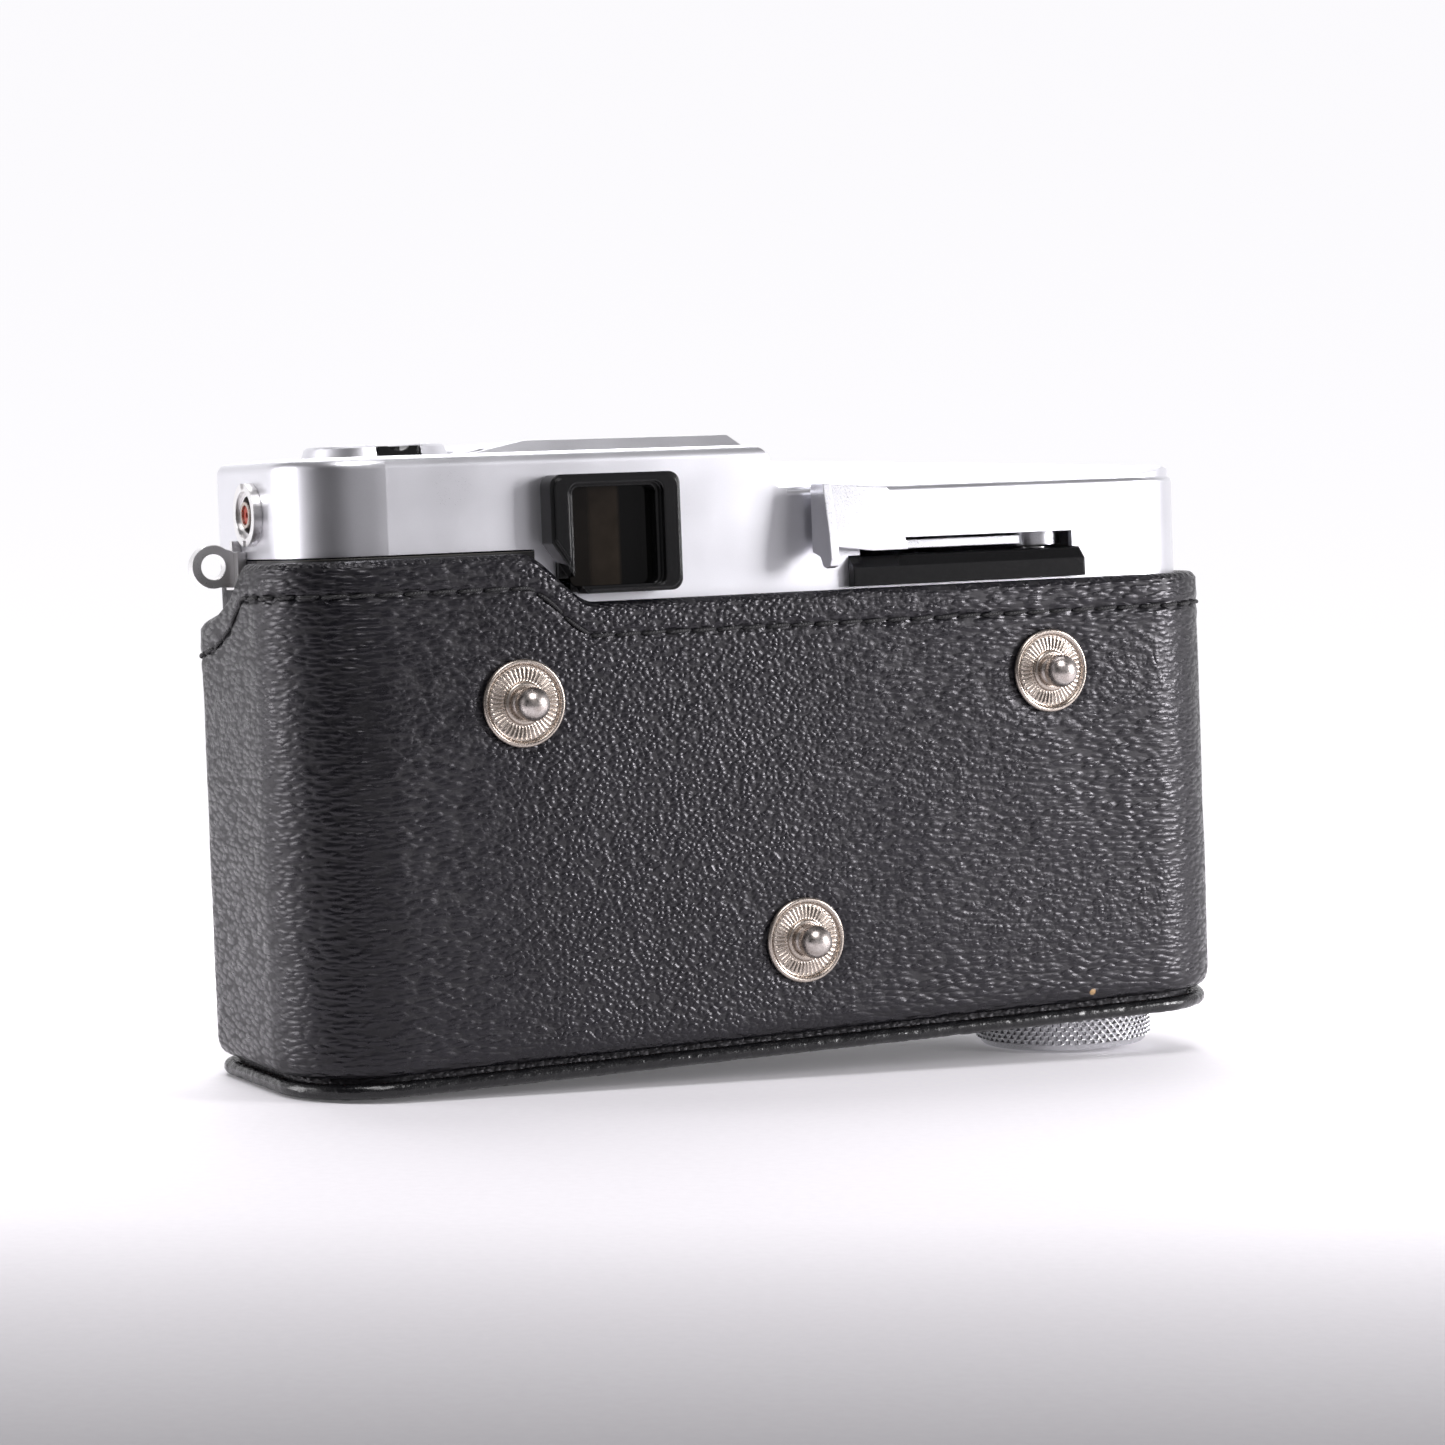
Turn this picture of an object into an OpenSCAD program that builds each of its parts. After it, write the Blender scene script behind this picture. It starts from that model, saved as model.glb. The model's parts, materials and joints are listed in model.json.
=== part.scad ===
// Rangefinder camera held in the lower half of its leather case.
// The camera's back faces +Y, its lens faces -Y and +Z is up.
// The origin is under the middle of the whole, level with the bottom of the case screw.

/* [Half case] */
// Width of the leather case, end to end
case_w = 144; // [142:0.5:150]
// Depth of the leather case, back to front
case_d = 43; // [42:0.5:46]
// Thickness of the leather wall
leather_t = 2.3; // [1.8:0.1:2.4]
// Thickness of the felt lining
lining_t = 0.5; // [0.3:0.1:0.6]
// Radius of the welted piping round the bottom edge
piping_r = 1.4; // [1.2:0.1:1.5]
// Radius of the knurled head of the case screw
screw_r = 12.9; // [11:0.1:13.5]
// Height of the knurled head
screw_h = 5.3; // [4:0.1:5.4]
// How far the snap posts stand out of the leather
stud_out = 5.3; // [4:0.1:6]

/* [Camera body] */
// Height of the tall part of the top cover
cover_top = 88.9; // [88:0.1:90]
// Height of the low part's outer edge
deck_top = 82.7; // [82:0.1:83.2]
// Height of the lens axis
lens_z = 42; // [41.5:0.1:42.5]
// How far the lens stands out of the front of the case
lens_out = 27.3; // [25:0.1:29]

/* [Moving parts] */
// Radial running clearance of shafts and rings
run_gap = 0.06; // [0.03:0.01:0.1]
// Radius of the rewind knob
knob_r = 10; // [9:0.1:10.2]
// Radius of the tripod thread
tripod_r = 3.175; // [3:0.005:3.3]
// Radius of the filter thread
filter_r = 20.25; // [20:0.05:20.4]

/* [Hidden] */
$fn = 64;
eps = 0.05;
far = 100;
fit_gap = 0.3;
seat_gap = 0.1;

// Case, in plan
case_hw = case_w / 2;
case_back = (stud_out + case_d + lens_out) / 2 - stud_out;
case_front = case_back - case_d;
case_rb = 14.5;
case_rf = 8;

// Body, in plan
skin = leather_t + lining_t + fit_gap;
body_hw = case_hw - skin;
body_back = case_back - skin;
body_front = case_front + skin;
body_rb = 12;
body_rf = 5.6;
mid_y = (body_back + body_front) / 2;

// Heights
base_z = 6;
base_t = 2.6;
pad_t = 0.5;
wall_z = 8.5;
body_z = 9.4;
pan_top = 15;
side_z0 = 15.2;
deck_line = 67.4;
tall_line = 75.8;
line_gap = 0.2;
step_x = 36.5;
edge_low = 68.8;
edge_high = 75.5;
edge_front = 67.3;

// Shells
sheet_t = 0.9;
cover_t = 1;
inset = cover_t + seat_gap;
film_y = body_back - 3.9;

// Chambers of the casting
chamber_z0 = lens_z - 23.5;
chamber_z1 = lens_z + 23.5;
deck_z = chamber_z1 + 3.5;
shelf_z = tall_line - 0.2;
cassette_x = 51.3;
cassette_r = 13;
spool_x = -53.6;
spool_room_r = 11;
sprocket_x = -33;
sprocket_y = film_y - 5;
gate_w = 36.6;
gate_h = 24.6;
gate_x = gate_w / 2 + 2.2;

// Lens, measured forward from the front of the body
flange_r = 25;
drum_r = 22;
neck_r = 20;
cell_r = 16;
glass_r = 12.1;
drum_d = 3.6;
neck_d = 15.6;
housing_d = 21.6;
bell_r = 21.7;
lens_d = lens_out + skin;

// Wind lever
lever_x = -43;
lever_y = body_back - 5.4;
lever_z = 73.9;
lever_t = 1.2;
plate_x0 = -15.5;
plate_x1 = -4.3;
tab_out = 3.5;

// Finder
eye_x0 = 16.5;
eye_x1 = 35.3;
eye_z0 = 69.9;
eye_z1 = 85.7;
eye_out = 3.9;
finder_x = 26;
finder_y = 0;
rf_x = 57;

// Rewind side
slot_w = 6.3;
knob_z0 = 86.3;
knob_z1 = 90.5;
well_z = 86;
shaft_r = 2.5;
// Room round the rewind shaft in the casting
shaft_room = 1.8;
crank_y = mid_y - 7.3;
crank_z = 89;
crank_r = 1.3;

// Button and counter on the low deck
button_x = -30;
button_y = -0.5;
button_r = 3.5;
counter_x = -52;
counter_y = 6;

// Strap lugs
lug_y = 5.5;
lug_z = 75.2;
lug_x = 73;
lug_hole_r = 1.7;
lug_r = 2.9;

// Snaps: the two at the top and the one below
snap_x = 40.2;
snap_z = 56;
snap_low_z = 21.4;
snap_r = 5.85;

// Sync socket
sync_z = 81.9;
sync_r = 4.2;

// Screws of the top cover
cover_screw_x = [42, 62];
cover_screw_y = 24;

// ---------- shared shapes ----------

// Oblong plan with one radius for its back corners and one for its front corners
module plan(hw, yf, yb, rf, rb) {
  translate([-(hw - rb), yf]) square([2 * (hw - rb), yb - yf]);
  translate([-(hw - rf), yf]) square([2 * (hw - rf), yb - rb - yf]);
  translate([-hw, yf + rf]) square([2 * hw, yb - rb - yf - rf]);
  for (s = [-1, 1]) {
    translate([s * (hw - rb), yb - rb]) circle(rb);
    translate([s * (hw - rf), yf + rf]) circle(rf);
  }
}

module case_plan(o) {
  plan(case_hw - o, case_front + o, case_back - o, case_rf - o, case_rb - o);
}

module body_plan(o) {
  plan(body_hw - o, body_front + o, body_back - o, body_rf - o, body_rb - o);
}

module case_prism(o, z0, z1) {
  translate([0, 0, z0]) linear_extrude(z1 - z0) case_plan(o);
}

module body_prism(o, z0, z1) {
  translate([0, 0, z0]) linear_extrude(z1 - z0) body_plan(o);
}

module edge_profile(r, h, re) {
  square([r, h - re]);
  square([r - re, h]);
  translate([r - re, h - re]) circle(re);
}

// Prism on the body's plan, from z = 0 to h, with a rounded top edge
module soft_body(h, re) {
  hw = body_hw;
  yf = body_front;
  yb = body_back;
  rf = body_rf;
  rb = body_rb;
  linear_extrude(h) body_plan(re);
  linear_extrude(h - re) body_plan(0);
  for (s = [-1, 1]) {
    translate([s * (hw - rb), yb - rb, 0])
      rotate([0, 0, s > 0 ? 0 : 90]) rotate_extrude(angle = 90) edge_profile(rb, h, re);
    translate([s * (hw - rf), yf + rf, 0])
      rotate([0, 0, s > 0 ? -90 : 180]) rotate_extrude(angle = 90) edge_profile(rf, h, re);
    translate([0, yb - rb, 0])
      rotate([90, 0, 0]) mirror([s > 0 ? 0 : 1, 0, 0])
        linear_extrude(yb - yf - rf - rb) edge_profile(hw, h, re);
  }
  translate([-(hw - rb), yb - 2 * re, 0])
    rotate([90, 0, 90]) linear_extrude(2 * (hw - rb)) edge_profile(2 * re, h, re);
  translate([hw - rf, yf + 2 * re, 0])
    rotate([90, 0, -90]) linear_extrude(2 * (hw - rf)) edge_profile(2 * re, h, re);
}

// Cylinder along Y, from y0 back to y1
module rod_y(r, x, z, y0, y1) {
  translate([x, y1, z]) rotate([90, 0, 0]) cylinder(h = y1 - y0, r = r);
}

// Cylinder along X, from x0 to x1
module rod_x(r, y, z, x0, x1) {
  translate([x0, y, z]) rotate([0, 90, 0]) cylinder(h = x1 - x0, r = r);
}

// Cylinder along Z, from z0 to z1
module rod_z(r, x, y, z0, z1) {
  translate([x, y, z0]) cylinder(h = z1 - z0, r = r);
}

module block(x0, x1, y0, y1, z0, z1) {
  translate([x0, y0, z0]) cube([x1 - x0, y1 - y0, z1 - z0]);
}

// Flat shape drawn in X and Z, standing from y0 to y1
module wall_y(y0, y1) {
  translate([0, y1, 0]) rotate([90, 0, 0]) linear_extrude(y1 - y0) children();
}

// Flat shape drawn in Y and Z, standing from x0 to x1
module wall_x(x0, x1) {
  translate([x0, 0, 0]) rotate([90, 0, 90]) linear_extrude(x1 - x0) children();
}

// Turned lens part: distances are forward of the body's front
module lens_rod(r, d0, d1) {
  rod_y(r, 0, lens_z, body_front - d1, body_front - d0);
}

module lens_tube(r_in, r_out, d0, d1) {
  difference() {
    lens_rod(r_out, d0, d1);
    lens_rod(r_in, d0 - 1, d1 + 1);
  }
}

// Rounded rectangle in a plane
module soft_rect(x0, x1, z0, z1, r) {
  translate([x0 + r, z0]) square([x1 - x0 - 2 * r, z1 - z0]);
  translate([x0, z0 + r]) square([x1 - x0, z1 - z0 - 2 * r]);
  for (x = [x0 + r, x1 - r], z = [z0 + r, z1 - r]) translate([x, z]) circle(r);
}

// ---------- half case ----------

// Everything above the top edge of the leather, lowered by drop
module above_edge(drop) {
  x_low = 29;
  x_high = 39.5;
  steps = 14;
  rise = edge_high - edge_low;
  wall_y(-far, far) polygon(concat(
    [[-far, edge_low - drop], [x_low, edge_low - drop]],
    [for (i = [1:steps - 1]) let(t = i / steps)
      [x_low + (x_high - x_low) * t, edge_low - drop + rise * t * t * (3 - 2 * t)]],
    [[x_high, edge_high - drop], [far, edge_high - drop], [far, far], [-far, far]]));
  wall_x(-far, far) polygon([[14, edge_high - drop], [8.6, 71.4 - drop], [2.4, 68.9 - drop],
    [-6, edge_front - drop], [-far, edge_front - drop], [-far, far], [14, far]]);
}

// The opening in the front of the case that the lens stands through
module lens_opening() {
  r = flange_r + 2.5;
  rod_y(r, 0, lens_z, -far, mid_y);
  block(-r, r, -far, mid_y, lens_z, far);
}

module snap_places() {
  for (p = [[-snap_x, snap_z], [snap_x, snap_z], [0, snap_low_z]])
    translate([p[0], 0, p[1]]) rotate([-90, 0, 0]) children();
}

module case_wall() {
  hole_r = 1.45;
  color([0.1, 0.1, 0.11]) difference() {
    case_prism(0, wall_z, edge_high);
    case_prism(leather_t, wall_z - 1, edge_high + 1);
    above_edge(0);
    lens_opening();
    snap_places() cylinder(h = far, r = hole_r);
  }
}

module case_lining() {
  hole_r = 4.6;
  drop = 0.7;
  color([0.25, 0.12, 0.1]) difference() {
    case_prism(leather_t, base_z + base_t + pad_t, edge_high);
    case_prism(leather_t + lining_t, base_z, edge_high + 1);
    above_edge(drop);
    lens_opening();
    snap_places() cylinder(h = far, r = hole_r);
  }
}

module case_base() {
  margin = case_hw - (case_hw - 1.7 - piping_r - eps);
  color([0.09, 0.09, 0.1]) difference() {
    case_prism(margin, base_z, base_z + base_t);
    rod_z(7, spool_x, mid_y, 0, far);
  }
}

module base_pad() {
  clip_room_r = 7.6;
  color([0.25, 0.12, 0.1]) difference() {
    case_prism(leather_t + 0.1, base_z + base_t, base_z + base_t + pad_t);
    rod_z(clip_room_r, spool_x, mid_y, 0, far);
  }
}

module case_piping() {
  in = 1.7;
  z = base_z - 0.4 + piping_r;
  hw = case_hw - in;
  yf = case_front + in;
  yb = case_back - in;
  rf = case_rf - in;
  rb = case_rb - in;
  color([0.08, 0.08, 0.09]) {
    rod_x(piping_r, yb, z, -(hw - rb), hw - rb);
    rod_x(piping_r, yf, z, -(hw - rf), hw - rf);
    for (s = [-1, 1]) {
      rod_y(piping_r, s * hw, z, yf + rf, yb - rb);
      translate([s * (hw - rb), yb - rb, z]) rotate([0, 0, s > 0 ? 0 : 90])
        rotate_extrude(angle = 90) translate([rb, 0]) circle(piping_r);
      translate([s * (hw - rf), yf + rf, z]) rotate([0, 0, s > 0 ? -90 : 180])
        rotate_extrude(angle = 90) translate([rf, 0]) circle(piping_r);
    }
  }
}

// Knurled head, neck with a clip groove, and a plain stud in place of the thread
module case_screw() {
  rim = 0.6;
  neck = 4.8;
  groove = 4;
  lip = 4.3;
  stud = tripod_r - 0.075;
  clip_z = 8.7;
  lip_z = 9.25;
  stud_z = 9.35;
  top_z = 15.5;
  thread_depth = 6.5;
  color([0.75, 0.75, 0.76]) translate([spool_x, mid_y, 0]) rotate_extrude() polygon([
    [tripod_r, 0], [screw_r - rim - 0.3, 0], [screw_r - rim, 0.3], [screw_r - rim, 0.9], [screw_r, 1.1],
    [screw_r, screw_h - 0.6], [screw_r - rim, screw_h], [neck, screw_h], [neck, clip_z], [groove, clip_z],
    [groove, lip_z], [lip, lip_z], [lip, stud_z], [stud, stud_z], [stud, top_z - 0.5], [stud - 0.5, top_z],
    [0, top_z], [0, thread_depth], [tripod_r, thread_depth]]);
}

module screw_ferrule() {
  color([0.75, 0.6, 0.3]) difference() {
    rod_z(7, spool_x, mid_y, screw_h + 0.2, 8.65);
    rod_z(4.8 + run_gap, spool_x, mid_y, 0, far);
  }
}

module screw_clip() {
  color([0.6, 0.6, 0.62]) difference() {
    rod_z(6.2, spool_x, mid_y, 8.72, 9.2);
    rod_z(4 + run_gap, spool_x, mid_y, 0, far);
    block(spool_x - 1.4, spool_x + 1.4, mid_y, mid_y + far, 8, 10);
  }
}

module snap_rings() {
  rim = 0.4;
  hole = 1.4;
  color([0.78, 0.74, 0.68]) snap_places() translate([0, 0, case_back + eps]) rotate_extrude() {
    translate([hole, 0]) square([snap_r - rim - hole, 0.45]);
    translate([snap_r - rim, rim]) circle(rim);
    translate([hole, 0]) square([2.7 - hole, 0.8]);
  }
}

module snap_posts() {
  shank = 1.35;
  ball = 2.1;
  below = 2.7;
  color([0.6, 0.55, 0.5]) snap_places() {
    translate([0, 0, case_back - below]) cylinder(h = below + stud_out - ball, r = shank);
    translate([0, 0, case_back + stud_out - ball]) sphere(ball);
  }
}

module snap_backs() {
  color([0.78, 0.74, 0.68]) snap_places() difference() {
    translate([0, 0, case_back - leather_t - lining_t + eps]) cylinder(h = 0.4, r = 4.5);
    cylinder(h = far, r = 1.4);
  }
}

// ---------- body ----------

// Keeps what lies under the line where the top cover starts
module under_line(gap) {
  intersection() {
    children();
    union() {
      block(-far, step_x, -far, far, -far, deck_line + gap);
      block(step_x - eps, far, -far, far, -far, tall_line + gap);
    }
  }
}

// The casting under the covers, with its chambers, channels and seats cut out
module casting() {
  pocket_y0 = body_front + 3.4;
  difference() {
    body_prism(inset, body_z + cover_t + eps, deck_z);
    // cassette and spool rooms, sprocket room, film channel
    rod_z(cassette_r, cassette_x, mid_y, chamber_z0, chamber_z1);
    block(cassette_x - cassette_r, cassette_x + cassette_r, mid_y, far, chamber_z0, chamber_z1);
    rod_z(spool_room_r, spool_x, mid_y, chamber_z0, chamber_z1);
    block(spool_x - spool_room_r, spool_x + spool_room_r, mid_y, far, chamber_z0, chamber_z1);
    rod_z(6.6, sprocket_x, sprocket_y, chamber_z0, chamber_z1);
    block(sprocket_x - 6.6, sprocket_x + 6.6, sprocket_y, far, chamber_z0, chamber_z1);
    block(spool_x, cassette_x, film_y, far, chamber_z0, chamber_z1);
    // dark box behind the lens
    block(-gate_w / 2, gate_w / 2, 2, far, lens_z - gate_h / 2, lens_z + gate_h / 2);
    lens_rod(cell_r + 1, -10, 10);
    // lightening pockets
    block(gate_x, step_x - 1, pocket_y0, 20, chamber_z0, far);
    block(sprocket_x - 5, -gate_x, pocket_y0, 11.5, chamber_z0, far);
    block(-gate_w / 2, gate_w / 2, 4, 23, lens_z + gate_h / 2 + 2.7, far);
    block(-gate_w / 2, gate_w / 2, 4, 23, 0, lens_z - gate_h / 2 - 2.7);
    // bearings and seats
    rod_z(shaft_r + shaft_room, cassette_x, mid_y, chamber_z1 - 1, far);
    rod_z(3 + run_gap, spool_x, mid_y, chamber_z1 - 1, far);
    rod_z(1.5 + run_gap, sprocket_x, sprocket_y, chamber_z0 - 4, far);
    rod_z(5.5 + eps, spool_x, mid_y, 0, chamber_z0 - 1);
    rod_z(1.5 + run_gap, lever_x, lever_y, deck_z - 4, far);
    rod_z(1.2 + run_gap, counter_x, counter_y, deck_z - 2.5, far);
    rod_z(2.6, -36, 4, 0, pan_top);
    bottom_screw_places() cylinder(h = 6, r = 1.03);
    // hinge grooves and pin hole
    for (z = [21, 51]) block(-body_hw, -body_hw + 3.4, 8.2, 13.6, z, z + 10);
    rod_z(0.6 + run_gap, -66.9, 9.9, 16, 66);
  }
}

module casting_part(x0, x1) {
  color([0.2, 0.2, 0.21]) intersection() {
    casting();
    block(x0, x1, -far, far, 0, far);
  }
}

module chassis_gate() {
  casting_part(-gate_x, gate_x);
}

module chassis_rewind() {
  casting_part(gate_x, far);
}

module chassis_wind() {
  casting_part(-far, -gate_x);
}

// Raised floor under the tall part of the cover, with the posts that the cover is screwed to
module top_frame() {
  color([0.2, 0.2, 0.21]) difference() {
    union() {
      intersection() {
        body_prism(inset, deck_z, shelf_z);
        block(step_x + 0.5, far, -far, far, 0, far);
      }
      for (x = cover_screw_x) rod_z(2.2, x, cover_screw_y, shelf_z - 1, cover_top - 1);
    }
    rod_z(shaft_r + run_gap, cassette_x, mid_y, 0, far);
    for (x = cover_screw_x) rod_z(1.03, x, cover_screw_y, cover_top - 8, far);
  }
}

module leatherette() {
  color([0.07, 0.07, 0.08]) under_line(0) difference() {
    body_prism(0, side_z0, tall_line);
    body_prism(cover_t, side_z0 - 1, tall_line + 1);
    block(-far, far, mid_y + 0.8, far, 0, far);
    lens_rod(flange_r + eps, -2, 2);
  }
}

module back_door() {
  color([0.12, 0.12, 0.13]) {
    under_line(0) difference() {
      body_prism(0, side_z0, tall_line);
      body_prism(cover_t, side_z0 - 1, tall_line + 1);
      block(-far, far, -far, mid_y + 1, 0, far);
    }
    for (z = [22, 52]) difference() {
      union() {
        rod_z(1.1, -66.9, 9.9, z, z + 8);
        block(-body_hw + cover_t - eps, -66.9, 9.9, 12.6, z, z + 8);
        block(-body_hw + eps, -66.9, mid_y + 1, 12.6, z, z + 8);
      }
      rod_z(0.6 + run_gap, -66.9, 9.9, 0, far);
    }
  }
}

module hinge_pin() {
  color([0.6, 0.6, 0.62]) rod_z(0.6, -66.9, 9.9, 17, 65);
}

module pressure_plate() {
  color([0.1, 0.1, 0.1]) block(-24, 30, film_y + 0.2, film_y + 1.1, lens_z - 17, lens_z + 17);
}

module plate_spring() {
  y0 = film_y + 1.15;
  y1 = body_back - cover_t - 0.35;
  t = 0.3;
  color([0.7, 0.6, 0.4]) for (z = [lens_z - 12, lens_z + 6]) translate([0, 0, z]) linear_extrude(6)
    polygon([[-20, y1], [-4, y0], [8, y0], [24, y1], [24, y1 + t], [7.8, y0 + t],
      [-3.8, y0 + t], [-20, y1 + t]]);
}

// Plate that the rewind shaft lifts, with a finger that holds the door
module door_latch() {
  z = shelf_z + 0.6;
  color([0.65, 0.65, 0.66]) difference() {
    union() {
      rod_z(6, cassette_x, mid_y, z, z + 1.2);
      block(cassette_x, 66, mid_y - 2.5, mid_y + 2.5, z, z + 1.2);
      block(64.8, 66, mid_y - 2.5, 20, z, z + 1.2);
      rod_z(3.8, cassette_x, mid_y, z, z + 3.4);
    }
    rod_z(shaft_r + run_gap, cassette_x, mid_y, 0, far);
  }
}

module bottom_screw_places() {
  for (x = [-27, 27], y = [3, 20]) translate([x, y, body_z]) children();
}

module bottom_cover() {
  color([0.72, 0.72, 0.73]) difference() {
    translate([0, 0, pan_top]) mirror([0, 0, 1]) soft_body(pan_top - body_z, 1.5);
    body_prism(cover_t, body_z + cover_t, pan_top + 1);
    rod_z(5.5 + eps, spool_x, mid_y, 0, far);
    rod_z(2 + run_gap, -36, 4, 0, far);
    bottom_screw_places() {
      translate([0, 0, -1]) cylinder(h = 4, r = 1.1);
      translate([0, 0, -1]) cylinder(h = 1.5, r = 1.85);
    }
  }
}

module tripod_bush() {
  color([0.75, 0.6, 0.3]) difference() {
    rod_z(5.5, spool_x, mid_y, body_z + 0.4, chamber_z0 - 1.1);
    rod_z(tripod_r, spool_x, mid_y, 0, far);
  }
}

module slotted_screw(head_r, head_h, shank_r, length) {
  difference() {
    union() {
      cylinder(h = head_h, r = head_r);
      cylinder(h = length, r = shank_r);
    }
    translate([-head_r, -0.2, -1]) cube([2 * head_r, 0.4, 1.25]);
  }
}

// The same slotted screw holds both covers
module cover_screws() {
  color([0.7, 0.7, 0.72]) {
    bottom_screw_places() translate([0, 0, 0.05]) slotted_screw(1.8, 0.42, 1, 5);
    for (x = cover_screw_x) translate([x, cover_screw_y, cover_top - 0.05]) mirror([0, 0, 1])
      slotted_screw(1.8, 0.42, 1, 5);
  }
}

// Low deck: crowned from back to front and falling towards its end
module crown(o) {
  r = 40;
  top = 87.2;
  intersection() {
    body_prism(0.5 + o, deck_top - 1.6, 90);
    rod_x(r - o, mid_y, top - r, -far, far);
    wall_y(-far, far) polygon([[-body_hw, deck_top - 2], [-67.9 + o, deck_top - o], [-65.5 + o, 83.7 - o],
      [-62.5, 84.3 - o], [3, 87.1 - o], [3, deck_top - 2]]);
  }
}

// The tall part, ending in a curved shoulder over the low deck
module tall_profile(o) {
  r_top = 2.8;
  r_foot = 2.4;
  x = 1.1 + o;
  translate([x + r_top, 0]) square([far, cover_top]);
  translate([x, 0]) square([r_top + 1, cover_top - r_top]);
  translate([x + r_top, cover_top - r_top]) circle(r_top);
  difference() {
    translate([x - r_foot, 0]) square([r_foot + eps, deck_top + r_foot]);
    translate([x - r_foot, deck_top + r_foot]) circle(r_foot);
  }
}

module cover_outside() {
  z0 = 60;
  translate([0, 0, z0]) soft_body(deck_top - z0, 0.9);
  intersection() {
    translate([0, 0, z0]) soft_body(cover_top - z0, 1.6);
    wall_y(-far, far) tall_profile(0);
  }
  crown(0);
  // raised plate over the finder
  intersection() {
    wall_y(-far, far) polygon([[44.2, 88.85], [36, 90.4], [6, 90.4], [4.4, 88.85], [4.4, 88], [44.2, 88]]);
    wall_x(-far, far) polygon([[27.6, 88.85], [26.2, 90.4], [-3, 90.4], [-5, 88.85], [-5, 88], [27.6, 88]]);
  }
}

module cover_inside() {
  body_prism(sheet_t, 50, deck_top - sheet_t);
  intersection() {
    body_prism(sheet_t, 50, cover_top - sheet_t);
    block(2, far, -far, far, 0, far);
  }
  crown(sheet_t);
}

module top_cover() {
  color([0.8, 0.8, 0.82]) difference() {
    union() {
      difference() {
        cover_outside();
        cover_inside();
      }
      rod_z(knob_r + 1.5, cassette_x, mid_y, well_z - sheet_t, cover_top - 0.5);
    }
    block(-far, far, -far, far, 0, deck_line + line_gap);
    block(step_x, far, -far, far, 0, tall_line + line_gap);
    // well and bearing of the rewind knob
    rod_z(knob_r + 0.6, cassette_x, mid_y, well_z, far);
    rod_z(shaft_r + 0.2, cassette_x, mid_y, 0, far);
    // eyepiece, finder and rangefinder windows
    block(18.35, 33.45, 20, far, 70.15, 84.65);
    block(18.2, 33.8, -far, 0, 74.5, 85);
    rod_y(3.6, rf_x, 80, -far, 0);
    // lever slot, and the seat of the strip under it
    block(-46.4, -12.2, 26, far, 73.25, 75.5);
    block(-46.9, -10.4, 26, far, 69.05, 73.3);
    // button, counter window, sync socket, screws
    rod_z(6.25, button_x, button_y, 78, far);
    rod_z(2.55, counter_x, -0.5, 78, far);
    rod_x(3.25, mid_y, sync_z, 60, far);
    for (x = cover_screw_x) {
      rod_z(1.1, x, cover_screw_y, 80, far);
      rod_z(1.85, x, cover_screw_y, cover_top - 0.5, far);
    }
  }
}

module strap_lugs() {
  x0 = body_hw + eps;
  plate_t = 1.2;
  color([0.75, 0.75, 0.76]) for (s = [0, 1]) mirror([s, 0, 0]) {
    block(x0, x0 + plate_t, lug_y - 2.5, lug_y + 2.5, 72, 77);
    block(x0, x0 + plate_t, lug_y - 0.5, lug_y + 0.5, 77, 78.5);
    difference() {
      union() {
        rod_y(lug_r, lug_x, lug_z, lug_y - 0.9, lug_y + 0.9);
        wall_y(lug_y - 0.9, lug_y + 0.9) polygon([[x0 + 0.5, 72.3], [71.9, 72.4], [74.6, 72.9], [74.6, 77],
          [73, 78.1], [x0 + 0.5, 76.9]]);
      }
      rod_y(lug_hole_r, lug_x, lug_z, -far, far);
    }
  }
}

// ---------- finder ----------

// Outline of the eyepiece: square, with one lower corner cut off
module eye_outline(o) {
  difference() {
    soft_rect(eye_x0 + o, eye_x1 - o, eye_z0 + o, eye_z1 - o, 1.6);
    translate([eye_x1 - 4.9 - o, eye_z0 + o]) rotate(54.4) translate([-far / 2, -far]) square([far, far]);
  }
}

module eyepiece_frame() {
  lip = 1;
  color([0.04, 0.04, 0.045]) difference() {
    union() {
      wall_y(body_back, body_back + eye_out - 0.5) eye_outline(0);
      wall_y(body_back + 1, body_back + eye_out) eye_outline(0.4);
      block(18.4, 31.9, 27.4, body_back + 1, 70.2, 84.6);
      block(31, 33.4, 27.4, body_back + 1, 72, 84.6);
    }
    wall_y(0, far) soft_rect(19.9, 32, 70.9, 84, 1);
    wall_y(body_back + eye_out - lip, far) soft_rect(19.1, 32.8, 70.6, 84.5, 1.4);
  }
}

module eyepiece_lens() {
  gap = 0.03;
  color([0.2, 0.18, 0.14, 0.5]) wall_y(body_back - 0.2, body_back + 1.2)
    soft_rect(19.9 + gap, 32 - gap, 70.9 + gap, 84 - gap, 1);
}

module finder_housing() {
  wall = 0.8;
  x0 = 17.6;
  x1 = 34.2;
  z0 = 70.1;
  z1 = 84.7;
  y0 = body_front + 1.2;
  color([0.05, 0.05, 0.05]) difference() {
    block(x0, x1, y0, 27.3, z0, z1);
    block(x0 + wall, x1 - wall, y0 - 1, 28, z0 + wall, z1 - wall);
    rod_x(3, finder_y, 80, finder_x, far);
  }
}

module beam_splitter() {
  color([0.7, 0.75, 0.6, 0.5]) translate([finder_x, finder_y, 78]) rotate([0, 0, 45])
    cube([12.5, 0.8, 11], center = true);
}

module rf_mirror() {
  color([0.8, 0.8, 0.82]) translate([rf_x, finder_y, 80]) rotate([0, 0, 45]) cube([9, 1.2, 8], center = true);
}

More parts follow.
